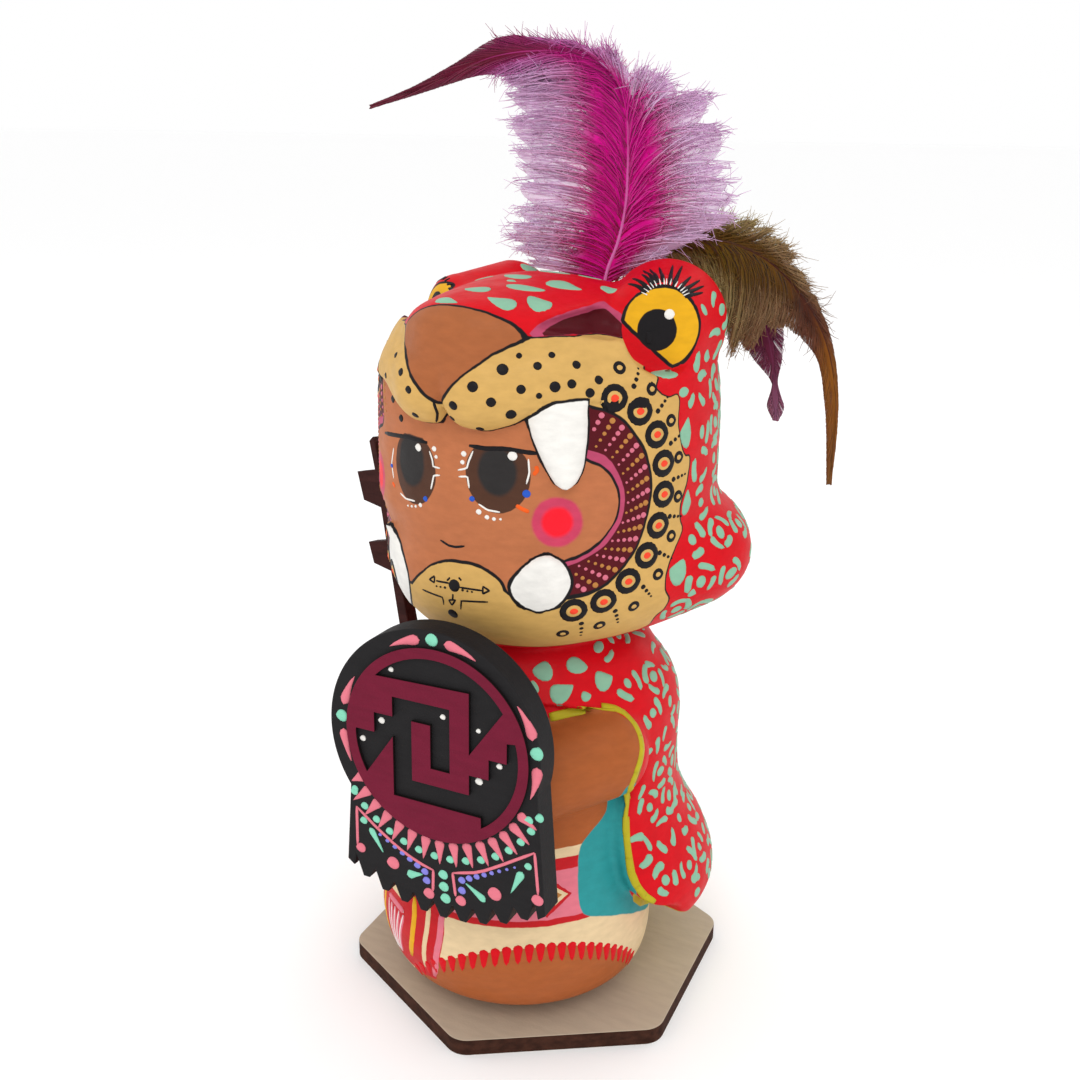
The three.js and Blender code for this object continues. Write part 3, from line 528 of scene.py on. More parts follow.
# Painted regions, drawn on the figure unrolled: (degrees round to the left side, height)
GOLD_SIDE = [(70.4, 113.4), (69.9, 110.4), (63.4, 108.1), (68, 106.3), (72.3, 106.5), (73.4, 105),
             (72.4, 102.4), (73.6, 99.4), (76, 96.9), (78.9, 96.5), (77.9, 92.5), (75.6, 89.6), (75.2, 87.1),
             (76.8, 85.1), (74, 83.1), (71.1, 80.8), (69.4, 78.4), (70.1, 75.6), (72.8, 74.2), (72.6, 72),
             (70.6, 70.5), (71.4, 68.1)]
GOLD_FOOT = [(60.9, 67.2), (46, 66.9), (32.8, 66.4), (18, 66.4), (7, 66.6)]
LIP_TOP = [(22.6, 115.7), (30, 115.7), (42.6, 115.2), (53.5, 114.8), (67.4, 113.8)]
BAND_OUTER = [(35.8, 76.9), (45.4, 78.1), (51.6, 80.3), (57.6, 84), (60.7, 88.4), (62, 93.3), (59.8, 97.9),
              (55.5, 101.4), (50.1, 104), (45, 105.3), (39.7, 106.2)]
PINK_OUTER = [(27, 80), (33.5, 81.5), (40.1, 82.8), (46.1, 84.6), (50.1, 87), (52.5, 89.9), (52.3, 93.3),
              (49.4, 96.4), (45.1, 98.7), (39.3, 99.7), (35, 101)]
SKIN_OUTER = [(27, 81), (33.6, 82.5), (39, 83.4), (44, 85), (48, 87.1), (50.4, 89.5), (50.7, 92.4),
              (48.4, 95.2), (44.2, 97.2), (39.6, 98.2), (34.4, 100)]
CHIN_TOP = [(-20.5, 75.6), (-14.7, 77.6), (-7.7, 80.3), (0.6, 81.3), (8.4, 81), (14.8, 79.4), (18.4, 77.2)]
FACE_MIDDLE = -2.5
UNDER_LOBES = 110
NOSE_LEFT = [(-1.2, 105.9), (2.4, 108.3), (5.3, 110), (8.3, 111.4), (13.5, 113.5), (18, 114.7),
             (22.2, 115.6), (26, 118), (24, 126)]
NOSE_RIGHT = [(-24, 126), (-24, 117), (-18.5, 115.4), (-18, 113.6), (-13, 111.4), (-8.6, 108.9), (-6, 107.5),
              (-3.3, 106.4)]
NOSE_BACK = 29.7
NOSE_BACK_CURVE = 0.003
SNOUT_OPENING = [(24.6, 115.8), (28.5, 116.8), (32.2, 117.4), (37.9, 117.7), (44.7, 118), (49.5, 118.4),
                 (54.2, 118.4), (56.9, 117.7), (59.9, 116.4), (63.1, 115.4), (65.2, 114.4), (62, 112),
                 (44, 113), (27, 114)]
OPENING_RIM = 1.1
EYES = [{"middle": (13.3, 95.3), "half": (5, 5.7), "pupil": (13.2, 95.9), "pupil_half": (3, 3.7)},
        {"middle": (-18.4, 94.2), "half": (5, 5.7), "pupil": (-19.6, 95.2), "pupil_half": (3.2, 4)}]
BROW_HEIGHT = 99.3
CHEEKS = [(31.7, 88.6), (-47, 90)]
CHEEK_RADIUS = 3.8
CHEEK_RED_RADIUS = 2.3
DISC_RADIUS = 6.15
DISC_PUPILS = {"left": (-0.6, -0.3), "right": (-0.2, 0.9)}
DISC_LEAN = {"left": 0, "right": 0.35}
DISC_DEPTH = {"left": 1.6, "right": 3}
DISC_PUPIL_RADIUS = 3.1
DISC_CUT = {"way": (-0.66, -0.75), "at": 3.2}
LASH_REACH = 6
LASH_FAN_SLOPE = 0.35
LASH_DEPTH = 4
TRIM = [(-4, 53.4), (0, 53.4), (31.3, 54), (39.9, 54.6), (48.1, 55.6), (54, 55.3), (58.5, 54.6),
        (61.7, 53.4), (63.4, 51.7), (63.9, 49.4), (62.2, 46.4), (61, 43.6), (62.4, 41), (64.4, 38.6),
        (63.2, 36), (61.3, 32.7), (60.5, 29.5), (59.9, 26.5), (61.7, 23.5), (66, 20.4), (73, 17.4),
        (82, 15.4), (95, 14.6), (120, 14.4), (180, 14.4)]
TRIM_HALF_WIDTH = 0.68
TRIM_BEHIND = 67
TEAL = [(58.5, 44), (56.2, 42.8), (56.6, 38), (54.8, 36.3), (49.2, 34.8), (45.1, 33.5), (42.8, 32.4),
        (41.9, 30.5), (41.6, 27.7), (41.5, 24.4), (42.4, 22.4), (44.3, 21.2), (56.1, 19.1), (70, 16.4),
        (82, 14), (96, 14), (92, 22), (72, 40)]
SKIRT_LINES = {"skirt": 32.9, "belt": 31.3, "panel": 29.4, "hem": 21.9, "band": 20.9}
ARCH_TOP = 17.6
ARCH_FALL = 0.0058
ARCH_MIDDLE = 28
APRON = [(-32, 6), (-32, 22.2), (-0.8, 22.2), (-0.4, 18), (-0.8, 15), (-2.9, 10.6), (-5, 7), (-14, 6.4)]
APRON_MIDDLE = -23
FAR = 9.0
NEAR_OUTLINE = 2
BELOW_TRIM_TOP = 60
BEHIND_CAPE = [(190, 16), (190, 72), (-4, 72)]
MOUTH_TOP = [(34, UNDER_LOBES), (-39, UNDER_LOBES)]
LOWER_BODY_TOP = 57
UPPER_FANGS_ABOVE = 90
FANG_LINE_INSET = 0.85
RIM_OFF_GOLD = 0.05


def unrolled(points):
    """Millimetres round the head and height, on the figure unrolled."""
    return np.stack([degrees_round(*points[:, :2].T) * MM_PER_DEGREE, points[:, 2]], 1)


def on_the_roll(places):
    """From (degrees, height) to millimetres round the head and height."""
    return np.array(places, float) * (MM_PER_DEGREE, 1)


def mirrored(places, middle=0):
    """The same places on the other side, in the order that goes on round the outline."""
    return [(2 * middle - degrees, height) for degrees, height in reversed(places)]


def smooth_outline(places, steps=3):
    """A closed outline that passes smoothly through the places."""
    at = on_the_roll(places)
    before, after, beyond = np.roll(at, 1, 0), np.roll(at, -1, 0), np.roll(at, -2, 0)
    rows = []
    for t in np.arange(steps) / steps:
        rows.append(0.5 * (2 * at + (after - before) * t + (2 * before - 5 * at + 4 * after - beyond) * t * t
                           + (3 * at - before - 3 * after + beyond) * t ** 3))
    return np.stack(rows, 1).reshape(-1, 2)


def distance_to_line(flat, a, b):
    d = b - a
    t = np.clip(((flat - a) @ d) / max(d @ d, 1e-9), 0, 1)
    return np.hypot(*(flat - a - t[:, None] * d).T)


def region(flat, outline):
    """Signed millimetres to a closed outline, negative inside, worked out only near it."""
    result = np.full(len(flat), FAR)
    near = ((flat > outline.min(0) - NEAR_OUTLINE) & (flat < outline.max(0) + NEAR_OUTLINE)).all(1)
    part = flat[near]
    nearest = np.full(len(part), FAR)
    inside = np.zeros(len(part), bool)
    for a, b in zip(outline, np.roll(outline, -1, 0)):
        nearest = np.minimum(nearest, distance_to_line(part, a, b))
        crosses = (a[1] > part[:, 1]) != (b[1] > part[:, 1])
        span = b[1] - a[1] if b[1] != a[1] else 1e-9
        inside ^= crosses & (part[:, 0] < a[0] + (part[:, 1] - a[1]) * (b[0] - a[0]) / span)
    result[near] = np.where(inside, -nearest, nearest)
    return result


def ellipse(flat, middle, half):
    away = (flat - on_the_roll(middle)) / half
    return (np.hypot(*away.T) - 1) * min(half)


def under_lobes(flat):
    degrees = np.abs(flat[:, 0] / MM_PER_DEGREE - LOBE_SEAM)
    return flat[:, 1] - through(LOBE_LOWER_EDGE, degrees)


def mouth(flat, side):
    """A region of the helmet's open mouth, between the lobes and the chin."""
    outline = smooth_outline(side + MOUTH_TOP + mirrored(side, FACE_MIDDLE) + CHIN_TOP)
    return np.maximum(region(flat, outline), under_lobes(flat))


def disc_region(points, radius, pupil=False, cut=False):
    nearest = np.full(len(points), FAR)
    for side, eye in HELMET_EYES.items():
        across, up, ahead = before_eye(*points.T, eye["face"], eye["turn"])
        shift = DISC_PUPILS[side] if pupil else (0, 0)
        size = radius * eye["face_radius"] / HELMET_EYES["left"]["face_radius"]
        out = np.hypot(across - shift[0] - DISC_LEAN[side] * up, up - shift[1]) - size
        if cut and side == "left":
            out = np.maximum(out, across * DISC_CUT["way"][0] + up * DISC_CUT["way"][1] - DISC_CUT["at"])
        nearest = np.minimum(nearest, np.maximum(out, np.abs(ahead) - DISC_DEPTH[side]))
    return nearest


def lash_region(points):
    """Negative over the fan of lashes above each of the helmet's eyes."""
    nearest = np.full(len(points), FAR)
    for eye in HELMET_EYES.values():
        across, up, ahead = before_eye(*points.T, eye["face"], eye["turn"])
        out = np.hypot(across, up) - eye["face_radius"] - LASH_REACH
        fan = np.maximum(out, np.abs(across) * LASH_FAN_SLOPE - up)
        nearest = np.minimum(nearest, np.maximum(fan, np.abs(ahead) - LASH_DEPTH))
    return nearest


def opening_region(flat, gold, grow):
    """The snout's opening above the lip on either side, down to the gold."""
    inside = region(np.abs(flat), smooth_outline(SNOUT_OPENING)) - grow
    return np.maximum(inside, RIM_OFF_GOLD - gold)


def nose_region(points, flat):
    out = np.hypot(points[:, 0], points[:, 1] - HEAD_Y)
    degrees = flat[:, 0] / MM_PER_DEGREE
    in_front = NOSE_BACK - NOSE_BACK_CURVE * degrees ** 2 - out
    return np.maximum(region(flat, smooth_outline(NOSE_RIGHT + NOSE_LEFT)), in_front)


def fang_region(points):
    """The teeth's outlines where they meet the head."""
    degrees, z = degrees_round(*points[:, :2].T), points[:, 2]
    nearest = np.full(len(points), FAR)
    for each in FANGS:
        width = through(each["half_width"], z)
        across = np.abs(degrees - through(each["degrees"], z)) * MM_PER_DEGREE - width
        ends = np.maximum(each["half_width"][0][0] - z, z - each["half_width"][-1][0])
        past_lip = z - through(LOBE_LOWER_EDGE, np.abs(degrees)) - FANG_UNDER_LIP
        sheltered = np.where(z > UPPER_FANGS_ABOVE, past_lip, -FAR)
        nearest = np.minimum(nearest, np.maximum(np.maximum(across * FANG_LINE_INSET, ends), sheltered))
    return nearest


def cape_region(flat):
    """Negative on the cape: above the trim in front and behind it at the sides."""
    return region(np.abs(flat), on_the_roll(TRIM + BEHIND_CAPE))


def trim_region(flat):
    """The line along the foot of the cape behind, where it goes on from the strokes at the sides."""
    behind = TRIM_BEHIND * MM_PER_DEGREE - np.abs(flat[:, 0])
    line = np.abs(cape_region(flat)) - TRIM_HALF_WIDTH
    return np.maximum(np.maximum(line, flat[:, 1] - BELOW_TRIM_TOP), behind)


def arch_height(degrees):
    """The height of the skirt's lower edge, an arch on either side of the apron."""
    beside = np.abs(degrees - APRON_MIDDLE) - (ARCH_MIDDLE - APRON_MIDDLE)
    return ARCH_TOP - ARCH_FALL * beside ** 2


def apron_region(flat):
    """The hanging apron, alike on both sides of its middle."""
    folded = flat.copy()
    middle = APRON_MIDDLE * MM_PER_DEGREE
    folded[:, 0] = middle + np.abs(flat[:, 0] - middle)
    return region(folded, on_the_roll(APRON))


def gold_outline():
    side = GOLD_SIDE + GOLD_FOOT
    return smooth_outline(side + mirrored(side) + mirrored(LIP_TOP) + LIP_TOP)


def painted_regions(points):
    """Every painted region, in the order in which it was painted: name, signed distance."""
    flat = unrolled(points)
    z = flat[:, 1]
    brow = z - BROW_HEIGHT

    def cheeks(radius):
        return np.minimum(*[ellipse(flat, cheek, (radius, radius)) for cheek in CHEEKS])

    eyes = np.minimum(*[ellipse(flat, e["middle"], e["half"]) for e in EYES])
    pupils = np.minimum(*[ellipse(flat, e["pupil"], e["pupil_half"]) for e in EYES])
    gold = region(flat, gold_outline())
    regions = {"lower_body": z - LOWER_BODY_TOP}
    regions.update({name: z - height for name, height in SKIRT_LINES.items()})
    regions.update({
        "below_skirt": z - arch_height(flat[:, 0] / MM_PER_DEGREE),
        "apron": apron_region(flat),
        "teal": region(np.abs(flat), smooth_outline(TEAL)),
        "cape": cape_region(flat),
        "trim": trim_region(flat),
        "gold": gold,
        "mouth": mouth(flat, BAND_OUTER),
        "pink_rim": mouth(flat, PINK_OUTER),
        "face": mouth(flat, SKIN_OUTER),
        "cheek": cheeks(CHEEK_RADIUS),
        "cheek_red": cheeks(CHEEK_RED_RADIUS),
        "eye": np.maximum(eyes, brow),
        "pupil": np.maximum(pupils, brow),
        "nose": nose_region(points, flat),
        "fang": fang_region(points),
        "opening_rim": opening_region(flat, gold, OPENING_RIM),
        "opening": opening_region(flat, gold, 0),
        "eye_side": disc_region(points, DISC_RADIUS),
        "disc": disc_region(points, DISC_RADIUS, cut=True),
        "disc_pupil": disc_region(points, DISC_PUPIL_RADIUS, pupil=True),
    })
    return regions


# Colours as they look in daylight
RED = (0.80, 0.02, 0.085)
MINT = (0.52, 0.71, 0.60)
SEA_MINT = (0.50, 0.80, 0.69)
GOLD = (0.79, 0.63, 0.36)
TERRACOTTA = (0.70, 0.42, 0.27)
BARE_CLAY = (0.64, 0.345, 0.175)
MAROON = (0.32, 0.05, 0.09)
NOSE_BROWN = (0.63, 0.365, 0.215)
ROSE = (0.70, 0.27, 0.40)
CHEEK_PINK = (0.76, 0.24, 0.36)
CHEEK_RED = (0.93, 0.10, 0.17)
YELLOW = (0.86, 0.64, 0.10)
CHARCOAL = (0.17, 0.16, 0.16)
BOARD_BLACK = (0.125, 0.12, 0.125)
BLACK = (0.09, 0.08, 0.09)
EYE_BROWN = (0.30, 0.19, 0.14)
TEAL_BLUE = (0.17, 0.56, 0.57)
OLIVE = (0.70, 0.65, 0.13)
CREAM = (0.86, 0.76, 0.60)
PINK = (0.85, 0.45, 0.51)
DARK_RED = (0.74, 0.10, 0.13)
WHITE = (0.90, 0.89, 0.87)
BLUE = (0.16, 0.33, 0.72)
ORANGE = (0.90, 0.36, 0.12)
ORANGE_RED = (0.92, 0.27, 0.17)
DULL_GOLD = (0.70, 0.47, 0.24)
DOT_PINK = (0.80, 0.42, 0.50)
LILAC = (0.50, 0.49, 0.82)
BURGUNDY = (0.42, 0.08, 0.18)
CLUB_BROWN = (0.25, 0.13, 0.12)
PLATE = (0.72, 0.66, 0.58)
BURNT = (0.27, 0.16, 0.12)

# In painting order: region, colour, half width of the black line at its edge
PAINT = [("lower_body", BARE_CLAY, 0), ("skirt", CREAM, 0), ("belt", DARK_RED, 0), ("panel", PINK, 0),
         ("hem", DARK_RED, 0), ("band", CREAM, 0), ("below_skirt", BARE_CLAY, 0), ("apron", DARK_RED, 0),
         ("teal", TEAL_BLUE, 0), ("cape", RED, 0), ("trim", OLIVE, 0), ("gold", GOLD, 0.14),
         ("opening_rim", ROSE, 0), ("opening", MAROON, 0), ("mouth", MAROON, 0.26), ("pink_rim", ROSE, 0),
         ("face", TERRACOTTA, 0.22), ("cheek", CHEEK_PINK, 0), ("cheek_red", CHEEK_RED, 0),
         ("eye", EYE_BROWN, 0), ("pupil", CHARCOAL, 0), ("nose", NOSE_BROWN, 0.24), ("fang", WHITE, 0.26),
         ("eye_side", RED, 0), ("disc", YELLOW, 0.26), ("disc_pupil", BLACK, 0)]
SOFT_EDGES = {"cheek": 0.3, "cheek_red": 0.45, "pupil": 0.4, "teal": 0.12}
SPECULAR = 0.1
EDGE_SOFTNESS = 0.07
EDGE_WOBBLE = 0.24
LINE_EVENNESS = (0.65, 1.35)

# Noises as (cycles a metre, detail, stretch along x, y and z), and bumps as (metres, strength)
BRUSH_STROKES = (420, 4, (1, 1, 2.4))
BRUSH_DEPTH = 0.10
DAB_DEPTH = 0.08
WOBBLES = (330, 2)
UNEVEN_LINES = (160, 2)
CLAY_GRAIN = (2600, 3)
CLAY_RIDGES = (700, 4, (1, 1, 2.2))
CLAY_BUMP = (0.00009, 0.55)
CLAY_GLOSS = (240, 3)
CLAY_ROUGHNESS = (0.44, 0.62)
CLAY_COAT = 0.03
DAB_ROUGHNESS = 0.5
DAB_COAT = 0.04
DAB_GRAIN = (1500, 2)
DAB_BUMP = (0.00004, 0.6)
BOARD_FIBRES = (900, 5, (0.25, 1, 1))
BOARD_GRAIN = (2800, 2)
BOARD_BUMP = (0.00006, 0.6)


def linear(colour):
    """From a colour as it looks to light values, with nothing see-through."""
    return [c / 12.92 if c <= 0.04045 else ((c + 0.055) / 1.055) ** 2.4 for c in colour] + [1]


class Finish:
    """A procedural material, built up node by node."""

    def __init__(self, name, roughness=0.6, coat=0.0):
        self.material = bpy.data.materials.new(name)
        self.material.use_nodes = True
        self.tree = self.material.node_tree
        self.shader = self.tree.nodes["Principled BSDF"]
        self.shader.inputs["Roughness"].default_value = roughness
        self.shader.inputs["Specular IOR Level"].default_value = SPECULAR
        self.shader.inputs["Coat Weight"].default_value = coat

    def node(self, kind, settings=None, **inputs):
        made = self.tree.nodes.new(kind)
        for name, value in (settings or {}).items():
            setattr(made, name, value)
        for name, value in inputs.items():
            self.give(made, name.replace("_", " "), value)
        return made

    def fill(self, socket, value):
        """Links a node's output to the socket, or gives it a constant."""
        if isinstance(value, bpy.types.NodeSocket):
            self.tree.links.new(value, socket)
        else:
            socket.default_value = value

    def give(self, node, name, value):
        self.fill(node.inputs[name], value)

    def math(self, operation, first, second=0.0, third=0.0):
        made = self.node("ShaderNodeMath", {"operation": operation})
        for number, value in enumerate((first, second, third)):
            self.give(made, number, value)
        return made.outputs[0]

    def noise(self, scale, detail=3.0, stretch=(1, 1, 1)):
        """Noise between 0 and 1, with its scale in cycles a metre."""
        place = self.node("ShaderNodeTexCoord").outputs["Object"]
        stretched = self.node("ShaderNodeMapping", Vector=place, Scale=stretch).outputs[0]
        return self.node("ShaderNodeTexNoise", Vector=stretched, Scale=scale, Detail=detail).outputs["Fac"]

    def spread(self, value, low, high, to_low, to_high, smooth=True):
        """Brings a value from one range to another, clamped."""
        kind = "SMOOTHSTEP" if smooth else "LINEAR"
        made = self.node("ShaderNodeMapRange", {"interpolation_type": kind}, Value=value)
        for name, number in (("From Min", low), ("From Max", high), ("To Min", to_low), ("To Max", to_high)):
            made.inputs[name].default_value = number
        return made.outputs[0]

    def mix(self, share, first, second, blend="MIX"):
        made = self.node("ShaderNodeMix", {"data_type": "RGBA", "blend_type": blend})
        for number, value in ((0, share), (6, first), (7, second)):
            self.give(made, number, value)
        return made.outputs[2]

    def colour(self, value):
        self.give(self.shader, "Base Color", value)

    def bump(self, height, distance, strength=1.0):
        made = self.node("ShaderNodeBump", Height=height, Distance=distance, Strength=strength)
        self.give(self.shader, "Normal", made.outputs[0])


def brushed(finish, colour, depth=BRUSH_DEPTH):
    """Slight unevenness of hand-brushed paint over a colour."""
    strokes = finish.noise(*BRUSH_STROKES)
    darker = finish.spread(strokes, 0.3, 0.75, 1 - depth, 1 + depth * 0.35, smooth=False)
    grey = finish.node("ShaderNodeCombineColor", Red=darker, Green=darker, Blue=darker).outputs[0]
    return finish.mix(1.0, colour, grey, "MULTIPLY")


def paint_finish(name, colour):
    finish = Finish(name, DAB_ROUGHNESS, DAB_COAT)
    finish.colour(brushed(finish, linear(colour), DAB_DEPTH))
    finish.bump(finish.noise(*DAB_GRAIN), *DAB_BUMP)
    return finish.material


def painted_clay_finish():
    """Each painted region over the ones before it, a little unsteady at its edge or its line."""
    finish = Finish("painted_clay", coat=CLAY_COAT)
    half = EDGE_WOBBLE / 2
    wobble = finish.spread(finish.noise(*WOBBLES), 0.25, 0.75, -half, half, smooth=False)
    uneven = finish.spread(finish.noise(*UNEVEN_LINES), 0.25, 0.75, *LINE_EVENNESS, smooth=False)
    colour = linear(RED)
    for name, paint, line in PAINT:
        distance = finish.node("ShaderNodeAttribute", {"attribute_name": name}).outputs["Fac"]
        distance = finish.math("ADD", distance, wobble)
        soft = SOFT_EDGES.get(name, EDGE_SOFTNESS)
        colour = finish.mix(finish.spread(distance, -soft, soft, 1, 0), colour, linear(paint))
        if line:
            half_width = finish.math("MULTIPLY", uneven, line)
            off_line = finish.math("SUBTRACT", finish.math("ABSOLUTE", distance), half_width)
            on_line = finish.spread(off_line, -EDGE_SOFTNESS, EDGE_SOFTNESS, 1, 0)
            colour = finish.mix(on_line, colour, linear(BLACK))
    finish.colour(brushed(finish, colour))
    grain = finish.math("MULTIPLY_ADD", finish.noise(*CLAY_GRAIN), 0.35, finish.noise(*CLAY_RIDGES))
    finish.bump(grain, *CLAY_BUMP)
    gloss = finish.spread(finish.noise(*CLAY_GLOSS), 0.3, 0.7, *CLAY_ROUGHNESS, smooth=False)
    finish.give(finish.shader, "Roughness", gloss)
    return finish.material


def board_finish(name, colour, fibre, roughness=0.72):
    """Fibreboard or wood: short darker fibres in the colour, and a faint grain."""
    finish = Finish(name, roughness)
    threads = finish.noise(*BOARD_FIBRES)
    tone = finish.spread(threads, 0.35, 0.68, 0, 1, smooth=False)
    pale = linear(colour)
    dark = [c * (1 - fibre) for c in pale[:3]] + [1]
    finish.colour(finish.mix(tone, dark, pale))
    finish.bump(finish.math("ADD", threads, finish.noise(*BOARD_GRAIN)), *BOARD_BUMP)
    return finish.material


# Meshes
def mesh_object(name, points, faces, finishes, face_finish=None, smooth=True):
    """A mesh from millimetres above the clay's underside, standing on the board."""
    mesh = bpy.data.meshes.new(name)
    placed = (np.asarray(points, float) + (0, 0, GROUND)) * METRES
    if isinstance(faces, np.ndarray):
        mesh.vertices.add(len(placed))
        mesh.vertices.foreach_set("co", placed.astype(np.float32).ravel())
        mesh.loops.add(faces.size)
        mesh.loops.foreach_set("vertex_index", faces.astype(np.int32).ravel())
        mesh.polygons.add(len(faces))
        mesh.polygons.foreach_set("loop_start", np.arange(0, faces.size, faces.shape[1], dtype=np.int32))
        mesh.update(calc_edges=True)
    else:
        mesh.from_pydata(placed.tolist(), [], faces)
    for each in finishes:
        mesh.materials.append(each)
    if face_finish is not None:
        mesh.polygons.foreach_set("material_index", np.asarray(face_finish, np.int32))
    mesh.polygons.foreach_set("use_smooth", [smooth] * len(mesh.polygons))
    mesh.update()
    made = bpy.data.objects.new(name, mesh)
    bpy.context.scene.collection.objects.link(made)
    return made


def keep_values(made, name, values):
    """Keeps one number a point in the mesh, for its material."""
    attribute = made.data.attributes.new(name, "FLOAT", "POINT")
    attribute.data.foreach_set("value", values.astype(np.float32))


def dress(made, slot, *nodes):
    """Says what a piece rides on and hides the solids it replaces. The slot argument is not used."""
    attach(made, "root")
    if nodes:
        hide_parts(*nodes)


# Small painted marks: low, closed dabs lying on a surface
MARK_STEPS = 9
RAILS = [(-1.14, -0.5), (-0.76, 0.72), (0, 1), (0.76, 0.72), (1.14, -0.5), (0, -1.6)]
MARK_HEIGHT = 0.11
SPOT_HEIGHT = 0.09
STROKE_HEIGHT = 0.07
GLINT_HEIGHT = 0.14
TRIM_HEIGHT = 0.24
SHIELD_MARK_HEIGHT = 0.2
DEEPEST = 0.09
LEAST_HALF_WIDTH = 0.04
DROP_HEAD = 0.22
STROKE_ENDS = 0.55
NEARLY_LEVEL = 0.94


class Marks:
    """Dabs collected on one surface, made into a mesh together."""

    def __init__(self, field):
        self.field = field
        self.dabs = []

    def add(self, anchor, line, widths, colour, turn=0.0, height=MARK_HEIGHT):
        """line is MARK_STEPS (across, up) places round the anchor, widths the half width at each."""
        self.dabs.append((np.asarray(anchor, float), math.radians(turn), np.asarray(line, float),
                          np.maximum(widths, LEAST_HALF_WIDTH), height, colour))

    def dot(self, anchor, radius, colour, height=MARK_HEIGHT, longer=1.0, turn=0.0):
        along = -np.cos(np.linspace(0, math.pi, MARK_STEPS))
        line = np.stack([along * radius * longer, 0 * along], 1)
        self.add(anchor, line, radius * np.sqrt(np.maximum(1 - along ** 2, 0)), colour, turn, height)

    def drop(self, anchor, length, half_width, colour, turn=0.0, bend=0.0, tail=0.25, height=MARK_HEIGHT):
        """A teardrop with its round head at the anchor's left; bend is how many degrees it curves."""
        share = np.linspace(0, 1, MARK_STEPS) ** 1.3
        head = np.sqrt(np.clip(1 - (1 - share / DROP_HEAD) ** 2, 0, 1))
        head = np.where(share < DROP_HEAD, head, 1)
        behind = np.clip((share - DROP_HEAD) / (1 - DROP_HEAD), 0, 1)
        widths = half_width * head * (1 - (1 - tail) * behind ** 0.8)
        widths[-1] = LEAST_HALF_WIDTH
        self.add(anchor, bent_line(share, length, bend), widths, colour, turn, height)

    def stroke(self, places, half_width, colour, height=STROKE_HEIGHT, taper=0.0, ends=STROKE_ENDS):
        """A stroke through places on the surface, of even width or narrowing to its end."""
        places = np.asarray(places, float)
        middle = places.mean(0)
        _, across, up = tangents(self.field, middle[None])
        flat = np.stack([(places - middle) @ across[0], (places - middle) @ up[0]], 1)
        reach = np.concatenate([[0], np.cumsum(np.hypot(*np.diff(flat, axis=0).T))])
        at = np.linspace(0, reach[-1], MARK_STEPS)
        line = np.stack([np.interp(at, reach, flat[:, k]) for k in range(2)], 1)
        share = np.linspace(0, 1, MARK_STEPS)
        widths = half_width * (1 - taper * share)
        widths[[0, -1]] *= ends
        self.add(middle, line, widths, colour, 0, height)

    def anchors(self):
        return np.array([dab[0] for dab in self.dabs])

    def keep(self, kept):
        """Drops the dabs that are not to be kept."""
        self.dabs = [dab for dab, wanted in zip(self.dabs, kept) if wanted]

    def mesh(self, name):
        """The dabs as one mesh, each in the paint of its colour."""
        anchors, turns, lines, widths, heights, colours = zip(*self.dabs)
        anchors, lines = np.array(anchors), np.array(lines)
        _, across, up = tangents(self.field, anchors)
        cos, sin = np.cos(turns)[:, None], np.sin(turns)[:, None]
        u, v = lines[..., 0], lines[..., 1]
        lines = np.stack([u * cos - v * sin, u * sin + v * cos], -1)
        heading = unit(np.gradient(lines, axis=1))
        aside = np.stack([-heading[..., 1], heading[..., 0]], -1)
        rails = []
        for off, _ in RAILS:
            flat = lines + aside * (np.array(widths) * off)[..., None]
            rails.append(anchors[:, None] + flat[..., :1] * across[:, None] + flat[..., 1:] * up[:, None])
        points = onto(self.field, np.stack(rails, 2).reshape(-1, 3), 2)
        lift = np.array([rise for _, rise in RAILS])[None, None] * np.array(heights)[:, None, None]
        lift = np.broadcast_to(np.maximum(lift, -DEEPEST), (len(anchors), MARK_STEPS, len(RAILS))).reshape(-1)
        points += unit(gradient(self.field, points), 1e-6) * lift[:, None]
        faces, dab_of = tube_faces(len(anchors))
        names = sorted(set(colours))
        number = np.array([names.index(colour) for colour in colours])
        return mesh_object(name, points, faces, [PAINTS[each] for each in names], number[dab_of])


def bent_line(share, length, bend):
    """Places along an arc of that length, which turns by bend degrees, around its own middle."""
    if abs(bend) < 1:
        return np.stack([(share - 0.5) * length, 0 * share], 1)
    turned = math.radians(bend)
    radius = length / turned
    angle = (share - 0.5) * turned
    return np.stack([radius * np.sin(angle), radius * (1 - np.cos(angle))], 1)


def tangents(field, points):
    """Outward, leftward-round and upward directions of the surface at each point."""
    normal = unit(gradient(field, points), 1e-6)
    reference = np.where(np.abs(normal[:, 2:]) < NEARLY_LEVEL, (0, 0, 1), (0, 1, 0))
    across = unit(np.cross(reference, normal))
    return normal, across, np.cross(normal, across)


def tube_faces(count):
    """Four-cornered faces of closed tubes of MARK_STEPS rings, with the tube that each face is part of."""
    ring = len(RAILS)
    faces = []
    for step in range(MARK_STEPS - 1):
        for rail in range(ring):
            a = step * ring + rail
            b = step * ring + (rail + 1) % ring
            faces.append((a, a + ring, b + ring, b))
    last = (MARK_STEPS - 1) * ring
    for base, order in ((0, 1), (last, -1)):
        faces.append(tuple((base + k for k in (0, 1, 4, 5)))[::order])
        faces.append(tuple((base + k for k in (1, 2, 3, 4)))[::order])
    one = np.array(faces)
    shift = np.arange(count)[:, None, None] * MARK_STEPS * ring
    return (one[None] + shift).reshape(-1, 4), np.repeat(np.arange(count), len(one))


